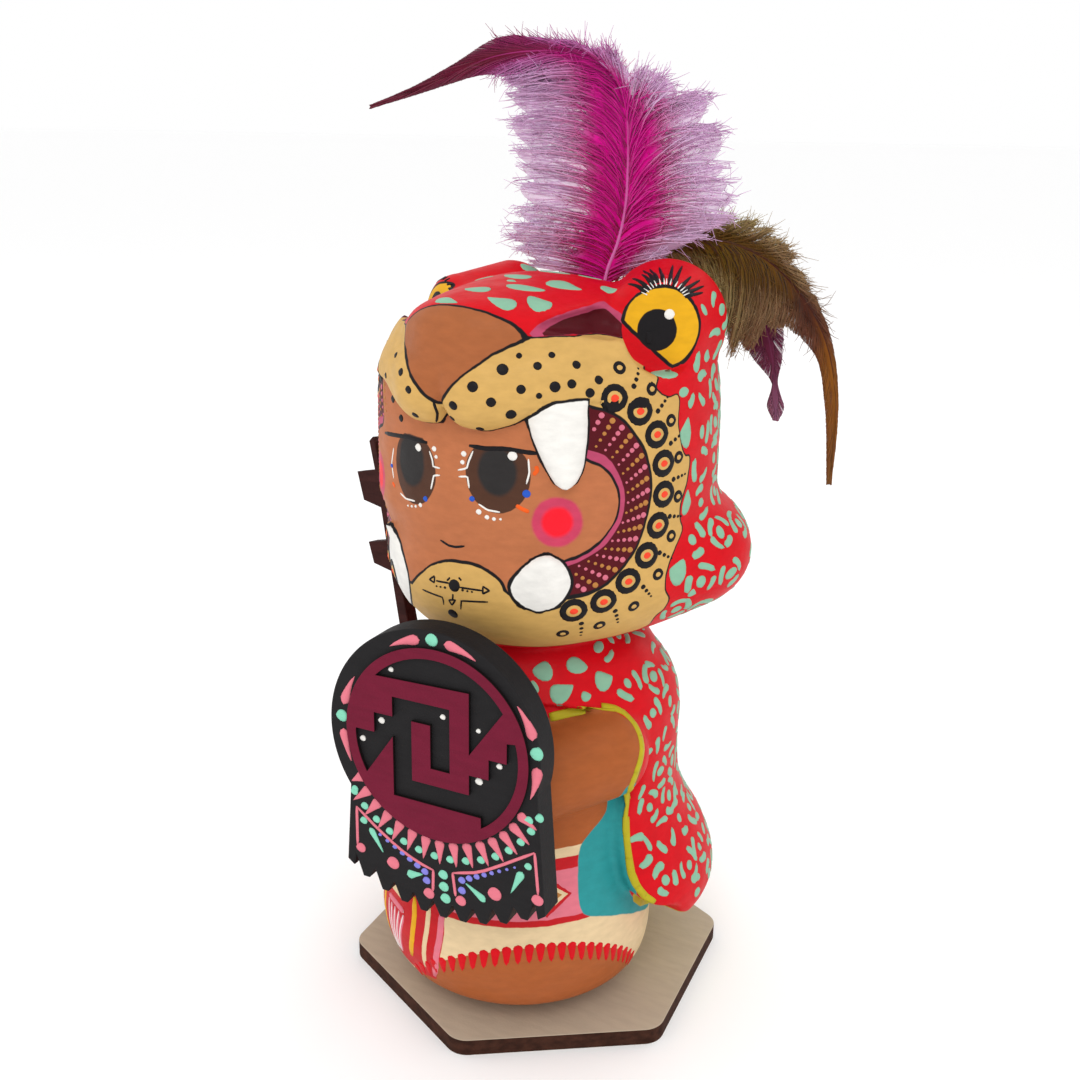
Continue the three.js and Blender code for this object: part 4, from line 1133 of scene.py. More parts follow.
# Marks painted by hand on the clay. Places "seen" are in the photograph's pixels, with sizes in millimetres;
# the others are (degrees round to the left side, height).
LOBE_DOTS_SEEN = [(502.5, 371.5, 0.85), (519, 357.8, 0.45), (551.8, 357, 0.5), (537.5, 368, 0.62),
                  (576.5, 366.8, 0.65), (472.5, 388.8, 0.8), (521, 391.5, 0.68), (539, 398, 0.45),
                  (555, 389, 0.8), (571.8, 386, 0.68), (491, 404.5, 0.72), (511, 416.8, 0.8),
                  (453, 407.8, 0.72), (452, 420.5, 0.5), (480, 431, 0.62), (590, 395, 0.72),
                  (598.8, 382, 0.68), (395.9, 357, 0.5), (400.7, 374.1, 0.62), (385.8, 377.5, 0.5),
                  (408.3, 391.8, 0.6), (393.1, 400.8, 0.65), (401.2, 420.1, 0.6), (415.3, 417.3, 0.6)]
RING_ARC = [(37.3, 74.6), (46.2, 75.5), (54.9, 78.6), (61.6, 82.4), (65.8, 87.2), (67.5, 92.4), (66.2, 97.6),
            (62.9, 101.6), (56.9, 104.8), (48.4, 106.9)]
RING_COUNT = 10
RING_RADII = (("black", 2.2, 0.11), ("gold", 1.2, 0.17), ("orange_red", 0.64, 0.26))
SMALL_RING_ARC = [(34.5, 70.2), (49, 71.4), (60.6, 74.6), (68, 80.2), (72.8, 86.3), (74.2, 93), (72.4, 99.2),
                  (67.6, 104.4), (60, 108.7), (51.1, 111)]
SMALL_RING_RADII = (("black", 1.02, 0.07), ("gold", 0.46, 0.13))
# (millimetres out from the small rings' arc, radius)
TRAIL_DOTS = [(-1.4, 0.42), (-0.35, 0.34), (0.55, 0.27), (1.3, 0.2)]
TRAIL_HEIGHT = 0.08
BAND_COLUMNS = 21
OFF_THE_FANGS = 0.1
BAND_DOTS = [(0.14, 0.2), (0.32, 0.26), (0.5, 0.32), (0.68, 0.38), (0.86, 0.46)]
MOUTH_MIDDLE = (34, 91)
SMILE_SEEN = [(440.5, 542), (448.7, 547.4), (456, 549), (464.5, 548)]
BROWS_SEEN = [[(469, 447.6), (485, 450.4), (505, 450.6), (537, 456)],
              [(385, 434.6), (407.5, 438.8), (427.5, 444.6)]]
EYE_GLINTS_SEEN = [(512.5, 458, 0.72), (418.4, 449.4, 0.62)]
WHITE_DOTS_SEEN = [(434.2, 450.8, 0.42), (436.2, 458.8, 0.3), (463.8, 455.8, 0.44), (462.5, 464.2, 0.36),
                   (420.5, 507, 0.36), (415.8, 508.2, 0.24), (412, 508.2, 0.22), (408.2, 507.5, 0.18),
                   (478.8, 513.8, 0.44), (487, 519.2, 0.36), (494, 521, 0.3), (500.5, 521.2, 0.2)]
WHITE_STROKES_SEEN = [
    [(429.5, 453), (432.4, 462), (433.2, 468.5), (440, 470.2)], [(440, 477.2), (433.8, 477.4), (431, 491)],
    [(473, 453), (468.4, 464), (466.8, 470.4), (458, 472)], [(458.8, 478.6), (467.4, 478.4), (469.2, 490)],
    [(528.4, 461), (529.4, 475), (526.4, 486)], [(478.6, 506), (487.4, 512), (500, 514.2)],
    [(400.6, 495), (406, 500.6), (415, 503)], [(393.8, 450), (391.8, 465), (393.8, 480)]]
BLUE_DOTS_SEEN = [(526.5, 495.8, 0.62), (472, 500.8, 0.45), (425.5, 500.8, 0.45), (392, 467.5, 0.4)]
ORANGE_DABS_SEEN = [[(536, 468), (537.4, 472.5), (533.4, 477)], [(516, 507.4), (522, 511), (529, 514)],
                    [(392.6, 484.5), (395, 488.5)]]
CHIN_DOTS_SEEN = [(454.2, 587.5, 1.0), (453, 615.6, 0.88), (462.6, 592, 0.22), (467.4, 593, 0.18),
                  (472, 593.8, 0.16), (445, 589.4, 0.22), (440.6, 588.8, 0.18), (436.6, 588, 0.16)]
CHIN_STROKES_SEEN = [[(436, 582.6), (449, 585)], [(459.6, 589.2), (482.6, 592.6)],
                     [(429.4, 581.2), (434.6, 577.6), (434.4, 584.6)], [(434.4, 584.6), (429.4, 581.2)],
                     [(489.6, 592.6), (483, 588.4), (482.6, 595.8)], [(482.6, 595.8), (489.6, 592.6)],
                     [(422.6, 591.2), (443.2, 599.4), (443.8, 606.4)],
                     [(488.2, 603.8), (461.4, 602.6), (460.8, 611)], [(453, 596), (452.6, 601.4)],
                     [(448.8, 601.8), (455.6, 601.8), (452, 607)], [(452, 607), (448.8, 601.8)],
                     [(450, 579.4), (447, 582.4)], [(458.6, 579.4), (461.4, 582.4)]]
SEAM_SEEN = [(433.4, 404), (437.4, 415), (436.6, 424)]
DISC_GLINTS_SEEN = [(669.3, 316.3, 0.8)]
PUPIL_TAIL_SEEN = [(649, 334), (648.8, 346)]
LASHES_SEEN = {"middle": (665, 305), "inner": 20, "outer": 45, "from": 18, "to": 150, "count": 14,
               "flat": 0.92}
# Black lashes, with short white ones between: (steps on, reach, half width, colour, height)
LASH_KINDS = ((0, None, 0.42, "black", 0.1), (0.5, 1.32, 0.12, "white", 0.12))
LASH_TAPER = 0.6
LASH_UNEVEN_DEGREES = 3
FAR_LASHES = {"from": 22, "to": 158, "count": 13, "reach": (0.7, 4.4), "half_width": 0.36}
FAR_GLINT = (1.0, 1.6, 0.6)
LONGEST_LASH = 9
# (strokes, half width, colour) and (dots, colour, height) of the face
FACE_STROKES = [([SMILE_SEEN], 0.2, "black"), (BROWS_SEEN, 0.36, "black"),
                (WHITE_STROKES_SEEN, 0.15, "white"), (ORANGE_DABS_SEEN, 0.32, "orange"),
                (CHIN_STROKES_SEEN, 0.16, "black"), ([SEAM_SEEN], 0.2, "black"),
                ([PUPIL_TAIL_SEEN], 0.5, "black")]
FACE_DOTS = [(LOBE_DOTS_SEEN, "black", 0.09), (WHITE_DOTS_SEEN, "white", 0.1), (BLUE_DOTS_SEEN, "blue", 0.1),
             (CHIN_DOTS_SEEN, "black", 0.08), (EYE_GLINTS_SEEN + DISC_GLINTS_SEEN, "white", GLINT_HEIGHT)]
CREST_BLOBS_SEEN = [(516.5, 278.2, 2.5, 1.7), (477, 291.2, 2.1, 1.5), (525.5, 290, 2.9, 1.5),
                    (564.5, 287.6, 2.7, 2), (501.2, 304, 2.3, 1.7), (540, 305.6, 1.9, 2.3),
                    (554.5, 274.2, 2.6, 1.5), (446, 302.4, 2.4, 1), (610, 292.4, 1.5, 1.2),
                    (484, 280, 1.8, 1), (590, 279.4, 1.9, 1.1), (530, 269.6, 1.8, 1.1), (512, 283, 0.8, 0.6)]
BORDER_BLOBS_SEEN = [(664.5, 376.4, 2, 2.4), (706.8, 358.2, 0.95, 1), (685.4, 435, 1.3, 2.2),
                     (686.8, 504.4, 1, 2), (677.2, 574.2, 1.7, 2.1), (692.2, 595, 0.75, 0.75)]
CHEST_BLOBS_SEEN = [(542.5, 673, 1.6, 1.6), (577, 667.4, 1.8, 1.4), (604.2, 682, 1.7, 1.6),
                    (562.4, 694, 2.1, 1.5), (586.2, 698, 0.85, 0.85), (533, 689, 0.8, 1)]
HOOD_ROWS = (70.5, 118)
CAPE_ROWS = (18.5, 63)
ROSETTE_PITCH = 6.1
ROSETTE_RADIUS = 2.35
ROSETTE_ROW_STEP = 0.88
ROSETTE_DOT_SHARE = 0.85
ROSETTE_DOT_RADIUS = (0.65, 1.0)
ROSETTE_STROKES = (2, 3, 3, 4)
ROSETTE_STROKE_LENGTH = (2.5, 4.0)
ROSETTE_STROKE_HALF_WIDTH = (0.56, 0.82)
ROSETTE_STROKE_BEND = (30, 85)
ROSETTE_STROKE_TAIL = (0.45, 0.9)
SIDE_GAP = 3
HOOD_RADIUS = 30
CAPE_EDGE_FOLLOWS_TO = 48
SHOULDER_EDGE = 62
CAPE_TRIM_TOP = 66
CLEAR_OF = {"eye": 1.1, "gold": 0.9, "trim": 1.7, "blob": 1.2}
MIRROR = np.array([-1, 1, 1])
BOTH = (1, MIRROR)


def along(curve, shares):
    """Places at the given shares of a curve's length on the unrolled figure."""
    at = on_the_roll(curve)
    reach = np.concatenate([[0], np.cumsum(np.hypot(*np.diff(at, axis=0).T))])
    shares = np.asarray(shares) * reach[-1]
    return np.stack([np.interp(shares, reach, at[:, k]) for k in range(2)], 1) / (MM_PER_DEGREE, 1)


def both_sides(places):
    """The places and their mirror places."""
    places = np.asarray(places, float)
    return np.concatenate([places, places * (-1, 1)])


def on_the_clay(places):
    """Whether seen places met the clay, and not the air beside it."""
    return np.abs(figure(places)).max() < 0.1


def add_seen_dots(marks, dots, colour, height):
    for place, (_, _, radius) in zip(seen([d[:2] for d in dots]), dots):
        marks.dot(place, radius, colour, height)


def add_blobs(marks, blobs, chance, sides):
    for place, (_, _, across, up) in zip(seen([b[:2] for b in blobs]), blobs):
        turn = chance.uniform(-25, 25)
        for side in sides:
            add_egg(marks, place * side, across, up, turn, chance)


def add_egg(marks, place, across, up, turn, chance):
    """A rounded blob, fuller at one end."""
    share = -np.cos(np.linspace(0, math.pi, MARK_STEPS))
    line = np.stack([share * across, 0.12 * across * share ** 2], 1)
    fuller = 1 + chance.choice((-1, 1)) * chance.uniform(0.25, 0.7) * share
    widths = up * np.sqrt(np.maximum(1 - share ** 2, 0)) * fuller
    marks.add(place, line, widths, "mint", turn, SPOT_HEIGHT)


def add_rings(marks):
    for arc, radii in ((RING_ARC, RING_RADII), (SMALL_RING_ARC, SMALL_RING_RADII)):
        for place in round_to(both_sides(along(arc, np.linspace(0, 1, RING_COUNT)))):
            for colour, radius, height in radii:
                marks.dot(place, radius, colour, height)


def add_trails(marks):
    """Rows of shrinking dots that run outward between the small rings."""
    starts = along(SMALL_RING_ARC, (np.arange(RING_COUNT) + 0.5) / (RING_COUNT - 1))[:-1]
    outward = unit(on_the_roll(starts) - on_the_roll(MOUTH_MIDDLE))
    for away, radius in TRAIL_DOTS:
        spots = (on_the_roll(starts) + outward * away) / (MM_PER_DEGREE, 1)
        for place in round_to(both_sides(spots)):
            marks.dot(place, radius, "black", TRAIL_HEIGHT)


def add_band_dots(marks):
    shares = (np.arange(BAND_COLUMNS) + 0.5) / BAND_COLUMNS
    outer, inner = along(BAND_OUTER, shares), along(PINK_OUTER, shares)
    for share, radius in BAND_DOTS:
        places = round_to(both_sides(lerp(inner, outer, share)))
        clear = fang_region(places) > radius + OFF_THE_FANGS
        for n, (place, free) in enumerate(zip(places, clear)):
            colour = "dot_pink" if (n % BAND_COLUMNS) % 2 else "dull_gold"
            if free:
                marks.dot(place, radius, colour, SPOT_HEIGHT)


def lash_strokes(chance):
    """Each lash as (two seen places, half width, colour, height)."""
    fan = LASHES_SEEN
    step = (fan["to"] - fan["from"]) / (fan["count"] - 1)
    strokes = []
    for n in range(fan["count"]):
        for on, reach, half_width, colour, height in LASH_KINDS:
            uneven = chance.uniform(-LASH_UNEVEN_DEGREES, LASH_UNEVEN_DEGREES)
            angle = math.radians(fan["from"] + step * (n + on) + uneven)
            outer = fan["inner"] * reach if reach else fan["outer"] * chance.uniform(0.84, 1.04)
            way = math.cos(angle), -math.sin(angle) * fan["flat"]
            places = [tuple(m + w * out for m, w in zip(fan["middle"], way)) for out in (fan["inner"], outer)]
            strokes.append((places, half_width, colour, height))
    return strokes


def add_far_eye_marks(marks, chance):
    """The lashes round the right eye of the helmet and the glint on it, which the photograph hardly shows."""
    eye, fan = HELMET_EYES["right"], FAR_LASHES
    turn = math.radians(eye["turn"])
    aside, up = np.array([math.cos(turn), math.sin(turn), 0]), np.array([0, 0, 1])
    for degrees in np.linspace(fan["from"], fan["to"], fan["count"]):
        angle = math.radians(degrees + chance.uniform(-LASH_UNEVEN_DEGREES, LASH_UNEVEN_DEGREES))
        way = aside * math.cos(angle) + up * math.sin(angle)
        places = [eye["face"] + way * (eye["face_radius"] + out) for out in fan["reach"]]
        marks.stroke(onto(figure, np.array(places), 8), fan["half_width"], "black", 0.1, LASH_TAPER)
    across, height, radius = FAR_GLINT
    glint = onto(figure, (eye["face"] + aside * across + up * height)[None], 8)[0]
    marks.dot(glint, radius, "white", GLINT_HEIGHT)


def face_marks():
    """Everything on the front of the head but the painted regions."""
    marks = Marks(figure)
    chance = random.Random(7)
    lashes = lash_strokes(chance)
    remember([place for strokes, _, _ in FACE_STROKES for stroke in strokes for place in stroke])
    remember([dot[:2] for dots, _, _ in FACE_DOTS for dot in dots])
    remember([place for places, _, _, _ in lashes for place in places])
    for dots, colour, height in FACE_DOTS:
        add_seen_dots(marks, dots, colour, height)
    for strokes, half_width, colour in FACE_STROKES:
        for stroke in strokes:
            marks.stroke(seen(stroke), half_width, colour)
    for places, half_width, colour, height in lashes:
        found = seen(places)
        if on_the_clay(found) and np.linalg.norm(found[1] - found[0]) < LONGEST_LASH:
            marks.stroke(found, half_width, colour, height, LASH_TAPER)
    add_far_eye_marks(marks, chance)
    add_rings(marks)
    add_trails(marks)
    add_band_dots(marks)
    return marks


def rosette(marks, centre, across, up, chance):
    """A dot or nothing, circled by a few curved strokes."""
    if chance.random() < ROSETTE_DOT_SHARE:
        radius = chance.uniform(*ROSETTE_DOT_RADIUS)
        marks.dot(centre, radius, "mint", SPOT_HEIGHT, chance.uniform(1, 1.5), chance.uniform(0, 180))
    begin = chance.uniform(0, 360)
    count = chance.choice(ROSETTE_STROKES)
    for n in range(count):
        angle = math.radians(begin + 360 * n / count + chance.uniform(-14, 14))
        out = ROSETTE_RADIUS * chance.uniform(0.9, 1.15)
        spot = centre + (across * math.cos(angle) + up * math.sin(angle)) * out
        length = chance.uniform(*ROSETTE_STROKE_LENGTH)
        backward = chance.random() < 0.5
        turn = math.degrees(angle) + (270 if backward else 90)
        bend = (-1 if backward else 1) * chance.uniform(*ROSETTE_STROKE_BEND)
        half_width = chance.uniform(*ROSETTE_STROKE_HALF_WIDTH)
        tail = chance.uniform(*ROSETTE_STROKE_TAIL)
        marks.drop(spot, length, half_width, "mint", turn, bend, tail, SPOT_HEIGHT)


def spotted(marks, rows, begins, chance, radius_at):
    """Rosettes in staggered rows round the back, from one side's edge to the other's."""
    low, high = rows
    count = int((high - low) / (ROSETTE_PITCH * ROSETTE_ROW_STEP))
    spots = []
    for row in range(count + 1):
        height = low + (high - low) * row / count
        edge = begins(height)
        step = ROSETTE_PITCH / (math.pi / 180 * radius_at(height))
        number = int((360 - 2 * edge) / step)
        for n in range(number + 1):
            degrees = edge + (n + (0.5 if row % 2 else 0)) * (360 - 2 * edge) / number
            if degrees <= 360 - edge:
                spots.append((degrees + chance.uniform(-1.6, 1.6), height + chance.uniform(-0.7, 0.7)))
    places = round_to(spots, 48)
    for place, _, across, up in zip(places, *tangents(figure, places)):
        rosette(marks, place, across, up, chance)


def clear_of_borders(places, blobs):
    """Where a spot is clear of the gold, the trim, the eyes, their lashes and the blobs."""
    flat = unrolled(places)
    clear = (disc_region(places, DISC_RADIUS) > CLEAR_OF["eye"]) & (lash_region(places) > 0)
    clear &= region(flat, gold_outline()) > CLEAR_OF["gold"]
    clear &= (cape_region(flat) < -CLEAR_OF["trim"]) | (flat[:, 1] > CAPE_TRIM_TOP)
    clear &= flat[:, 1] > CAPE_ROWS[0] - 5
    for place, reach in blobs:
        clear &= np.linalg.norm(places - place, axis=1) > reach
    return clear


def spot_marks():
    """The mint spots of the hood, crest and cape."""
    chance = random.Random(23)
    marks = Marks(figure)
    gold_at = sorted((height, degrees) for degrees, height in GOLD_SIDE)
    trim_at = np.array(sorted((height, degrees) for degrees, height in TRIM[10:])).T

    def hood_edge(height):
        return float(through(gold_at, np.array([height]))[0]) + SIDE_GAP + 4

    def cape_edge(height):
        below = height < CAPE_EDGE_FOLLOWS_TO
        return float(np.interp(height, *trim_at)) + SIDE_GAP + 3 if below else SHOULDER_EDGE

    def cape_radius(height):
        return float(through(CAPE_RADII, np.array([height]))[0])

    spotted(marks, HOOD_ROWS, hood_edge, chance, lambda height: HOOD_RADIUS)
    spotted(marks, CAPE_ROWS, cape_edge, chance, cape_radius)
    blobs = []
    for row in (BORDER_BLOBS_SEEN, CHEST_BLOBS_SEEN):
        for place, blob in zip(seen([b[:2] for b in row]), row):
            blobs += [(place * side, max(blob[2:]) + CLEAR_OF["blob"]) for side in BOTH]
    marks.keep(clear_of_borders(onto(figure, marks.anchors()), blobs))
    for row, sides in ((CREST_BLOBS_SEEN, (1,)), (BORDER_BLOBS_SEEN, BOTH), (CHEST_BLOBS_SEEN, BOTH)):
        add_blobs(marks, row, chance, sides)
    return marks


# The skirt: red drips under its lower edge, stripes down the apron, and diamonds round the belt's panel
DRIPS_ROUND = 42
DRIP_PITCH = 3.3
DRIP_LENGTH = 3.4
DRIP_HALF_WIDTH = 0.82
STRIPE_HEIGHT = 0.1
APRON_STRIPES = [
    ("yellow", 0.62, [(-13.4, 21.4), (-12.2, 18), (-12.7, 14.2), (-14.6, 9.6)]),
    ("cream", 0.52, [(-6.8, 21.6), (-6.6, 17.5), (-8.5, 9)]),
    ("pink", 0.62, [(-1.9, 21.8), (-1.7, 17), (-3.6, 11), (-5.6, 7.6)]),
]
APRON_FAN = {"top": 17, "foot": 8.4, "half": 5.4, "foot_half": 1.6, "count": 5}
# The fan's ribs as (half width, colour, height), and its bars as (height on the apron, half width, colour)
FAN_RIBS = ((0.5, "pink", 0.08), (0.16, "white", 0.13))
FAN_BARS = ((17.6, 0.55, "pink"), (17.6, 0.25, "white"), (19.8, 0.6, "cream"))
FAN_BAR_RISE = 0.2
FAN_BAR_HEIGHT = 0.14
TRIM_SEEN = [(549.5, 719.3), (560.0, 716.7), (571.6, 714.0), (586.4, 710.3), (601.2, 707.7),
             (613.8, 709.3), (624.4, 714.6), (633.9, 724.6), (639.7, 736.2), (642.1, 749.9),
             (640.2, 762.5), (635.4, 775.2), (631.1, 787.9), (627.5, 801.6), (625.9, 818.4),
             (626.5, 836.4), (628.6, 857.5), (631.1, 874.3), (636.5, 888.0), (645, 898.4),
             (654, 904)]
TRIM_STEP = 2
TRIM_PLACES = 4
TRIM_ENDS = 0.9
DIAMOND_COUNT = 4
DIAMOND_HEIGHT = 25.6
DIAMOND_FIRST = 30.4
DIAMOND_PITCH = 20.6
DIAMOND_HALF = (4.4, 3.6)
DIAMOND_LAYERS = [("dark_red", 1.0, 0.06), ("cream", 0.84, 0.09), ("dull_gold", 0.6, 0.12),
                  ("yellow", 0.3, 0.15)]


def add_drips(marks):
    for middle in (ARCH_MIDDLE, 2 * APRON_MIDDLE - ARCH_MIDDLE):
        across = middle + np.arange(-DRIPS_ROUND, DRIPS_ROUND + 0.1, DRIP_PITCH)
        for place in round_to([(d, float(arch_height(d)) - 0.3 * DRIP_LENGTH) for d in across]):
            marks.drop(place, DRIP_LENGTH, DRIP_HALF_WIDTH, "red", -90, 0, 0.4, SPOT_HEIGHT)


def add_apron(marks):
    for side in (1, -1):
        for colour, half_width, route in APRON_STRIPES:
            places = [(APRON_MIDDLE + side * (degrees - APRON_MIDDLE), height) for degrees, height in route]
            marks.stroke(round_to(places), half_width, colour, STRIPE_HEIGHT)
    fan = APRON_FAN
    for share in np.linspace(-1, 1, fan["count"]):
        top, foot = APRON_MIDDLE + fan["half"] * share, APRON_MIDDLE + fan["foot_half"] * share
        for rib in FAN_RIBS:
            marks.stroke(round_to([(top, fan["top"]), (foot, fan["foot"])]), *rib)
    for height, half_width, colour in FAN_BARS:
        places = [(APRON_MIDDLE + fan["half"] * share, height + FAN_BAR_RISE * (1 - abs(share)))
                  for share in (-1, 0, 1)]
        marks.stroke(round_to(places), half_width, colour, FAN_BAR_HEIGHT)


def add_diamonds(marks):
    """Nested diamonds between the belt and the hem, where the cape leaves them in sight."""
    share = np.linspace(-1, 1, MARK_STEPS)
    across = DIAMOND_FIRST - DIAMOND_PITCH * np.arange(DIAMOND_COUNT)
    for place in round_to([(degrees, DIAMOND_HEIGHT) for degrees in across]):
        for colour, size, height in DIAMOND_LAYERS:
            line = np.stack([share * DIAMOND_HALF[0] * size, 0 * share], 1)
            marks.add(place, line, DIAMOND_HALF[1] * size * (1 - np.abs(share)), colour, 0, height)


def add_trim(marks):
    """The olive line along the cape's edge on both sides, in short strokes that overlap."""
    for start in range(0, len(TRIM_SEEN) - 1, TRIM_STEP):
        places = seen(TRIM_SEEN)[start:start + TRIM_PLACES]
        if on_the_clay(places):
            for side in BOTH:
                marks.stroke(places * side, TRIM_HALF_WIDTH, "olive", TRIM_HEIGHT, 0, TRIM_ENDS)


def skirt_marks():
    marks = Marks(figure)
    add_trim(marks)
    add_drips(marks)
    add_apron(marks)
    add_diamonds(marks)
    return marks


# The shield: a fringed board, a disc with a stepped fret cut through it, and painted marks.
# Places on it are (aside, height) from the middle of its disc.
SHIELD_MIDDLE = (2.8, -33.5, 55.7)
SHIELD_TURN = 3
SHIELD_THICKNESS = 4.9
RIM_RADIUS = 18.2
RIM_ASIDE = -0.9
FRINGE_MIDDLE = 0.8
FRINGE_TOP_HALF = 16.6
FRINGE_BOTTOM_HALF = 17.6
FRINGE_CORNER = -24
FRINGE_REACH = 29.6
TEETH = 9
TOOTH_DEPTH = 2.5
CORNER_WIDTH = 1.7
DISC_BOARD_RADIUS = 15.7
DISC_THICKNESS = 0.6
FRET_RADIUS = 14
FRET_CELL = 3.3
FRET_MIDDLE = (-0.7, 0.1)
FRET_CRESCENT = {"corners": [(2, 3), (2, 0)], "arc": ((3.7, 2.4), (-3, 3))}
FRET_SPIRAL = {
    "corners": [(-4, 0), (-3, 0), (-3, 1), (-2, 1), (-2, 2), (1, 2), (1, -1.15), (0, -1.15), (0, 1), (-1, 1),
                (-1, -2), (2, -2), (2, -1), (3, -1), (3, 0), (3.9, 0), (3.9, 1)],
    "arc": ((4.1, 1), (2.6, -3.5)),
    "tail": [(2.6, -3), (-2, -3), (-2, 0)],
    "tail_arc": ((-3.4, -2.1), (-4, -0.1)),
}
FRONT_LIFT = 0.05
SHIELD_EDGE = 0.3
DISC_EDGE = 0.08
BURNT_EDGE = (0.10, 0.07, 0.07)
RIM_DOT_RADIUS = 1.02
RIM_DOT_HEIGHT = 0.22
RIM_DROP_HALF_WIDTH = 0.88
RIM_DROP_BEND = 22
RIM_DROP_LEAN = 0.1
FAN_DROP_HALF_WIDTH = 0.9
FAN_DOT_SIZE = 0.66
FANCY_HALF_WIDTH = 0.26
FANCY_HEIGHT = 0.14
LILAC_HEIGHT = 0.18
DROP_TAIL = 0.15
RIM_DOTS = [(92, 16.9), (176, 16.9), (9, 16.9)]
RIM_DROP_FROM, RIM_DROP_TO = 7.3, 26
FAN_ANGLES = (212.1, 330.4)
FAN_COUNT = 15
FAN_RADII = (15.8, 20)
FAN_SIDES = (-15.4, 16.9)
FAN_DOT_ANGLES = (217.4, 336.3)
FAN_DOT_RADIUS = 18.9
FANCY_LINES = [[(-14.7, -14), (-14.75, -20.9)],
               [(-14.7, -14.1), (-11, -16.9), (-7, -19.4), (-3.6, -20.9), (-0.8, -21.5)],
               [(-0.8, -21.5), (-0.9, -25.2)], [(2.64, -21), (3.15, -24.9)],
               [(2.64, -21), (7.2, -19.6), (10.9, -17.3), (16.6, -13.5)], [(16.6, -13.5), (17.3, -20.4)]]
PINK_SPOTS = [(-14.1, -21.3, 0.85), (-1.6, -25.9, 0.95), (4.1, -25.5, 0.9), (17.2, -21.4, 0.95),
              (-8.1, -22.35, 1.1), (10, -22.5, 1.15)]
LILAC_ROWS = [((-10.4, -17.9), (-2.3, -22.2), 7, (0.3, 0.62)),
              ((4.3, -21.8), (13.35, -16.9), 8, (0.62, 0.2))]
LILAC_SPOTS = [(-2, -23.7, 0.66), (4.3, -23.6, 0.66)]
MINT_SPOTS = [(1, -21.8, 0.82), (1.1, -23.9, 0.85), (1.4, -25.9, 0.88), (-13.4, -16.2, 0.65),
              (15.6, -16.1, 0.6), (-14.9, -11, 0.6), (15.6, -8.4, 0.7)]
MINT_DROPS = [((-12.3, -17.2), (-9.9, -20.9), 0.62), ((-5.5, -23.6), (-2.7, -22.8), 0.8),
              ((8.4, -24.3), (5, -22.1), 0.66), ((14.6, -17.3), (12.8, -21.4), 0.72)]
WHITE_SPOTS = [(-7.7, 10.8, 0.42), (1.2, 5, 0.45), (7.2, 4.1, 0.38), (-9.6, 2, 0.55), (-13.1, -1.8, 0.5),
               (7.3, -4.1, 0.62), (10.7, -0.8, 0.48)]


def shield_outline():
    """The board's outline: round above, with a wide toothed fringe below."""
    left_top, right_top = FRINGE_MIDDLE - FRINGE_TOP_HALF, FRINGE_MIDDLE + FRINGE_TOP_HALF - 0.6
    shoulder = [math.atan2(-math.sqrt(RIM_RADIUS ** 2 - (u - RIM_ASIDE) ** 2), u - RIM_ASIDE)
                for u in (right_top, left_top)]
    angles = np.linspace(shoulder[0], shoulder[1] + 2 * math.pi, 90)
    outline = [(RIM_ASIDE + RIM_RADIUS * math.cos(a), RIM_RADIUS * math.sin(a)) for a in angles]
    left, right = FRINGE_MIDDLE - FRINGE_BOTTOM_HALF, FRINGE_MIDDLE + FRINGE_BOTTOM_HALF
    outline += [(left, FRINGE_CORNER), (left + CORNER_WIDTH * 0.7, FRINGE_CORNER - 0.9)]
    pitch = (right - left - 2 * CORNER_WIDTH) / TEETH
    for n in range(TEETH):
        start = left + CORNER_WIDTH + n * pitch
        middle, end = start + pitch / 2, start + pitch
        outline += [(start, sag(start) + TOOTH_DEPTH), (middle - pitch * 0.16, sag(middle)),
                    (middle + pitch * 0.16, sag(middle)), (end - 0.1, sag(end) + TOOTH_DEPTH)]
    return outline + [(right - CORNER_WIDTH * 0.7, FRINGE_CORNER - 0.9), (right, FRINGE_CORNER)]


def sag(aside):
    return -math.sqrt(FRINGE_REACH ** 2 - aside ** 2)


def fret_outline(corners, arc, tail=(), tail_arc=None):
    """One opening of the fret, from corners on its grid and stretches of its round edge."""
    def place(corner):
        return tuple(m + c * FRET_CELL for m, c in zip(FRET_MIDDLE, corner))

    def along_edge(ends, steps):
        a, b = [math.atan2(*reversed(place(end))) % (2 * math.pi) for end in ends]
        sweep = b - a
        clockwise = tail_arc is not None
        if clockwise and sweep > 0:
            sweep -= 2 * math.pi
        if not clockwise and sweep < 0:
            sweep += 2 * math.pi
        return [(FRET_RADIUS * math.cos(a + sweep * n / steps), FRET_RADIUS * math.sin(a + sweep * n / steps))
                for n in range(steps + 1)]

    outline = [place(c) for c in corners] + along_edge(arc, 24) + [place(c) for c in tail]
    return outline + (along_edge(tail_arc, 10) if tail_arc else [])


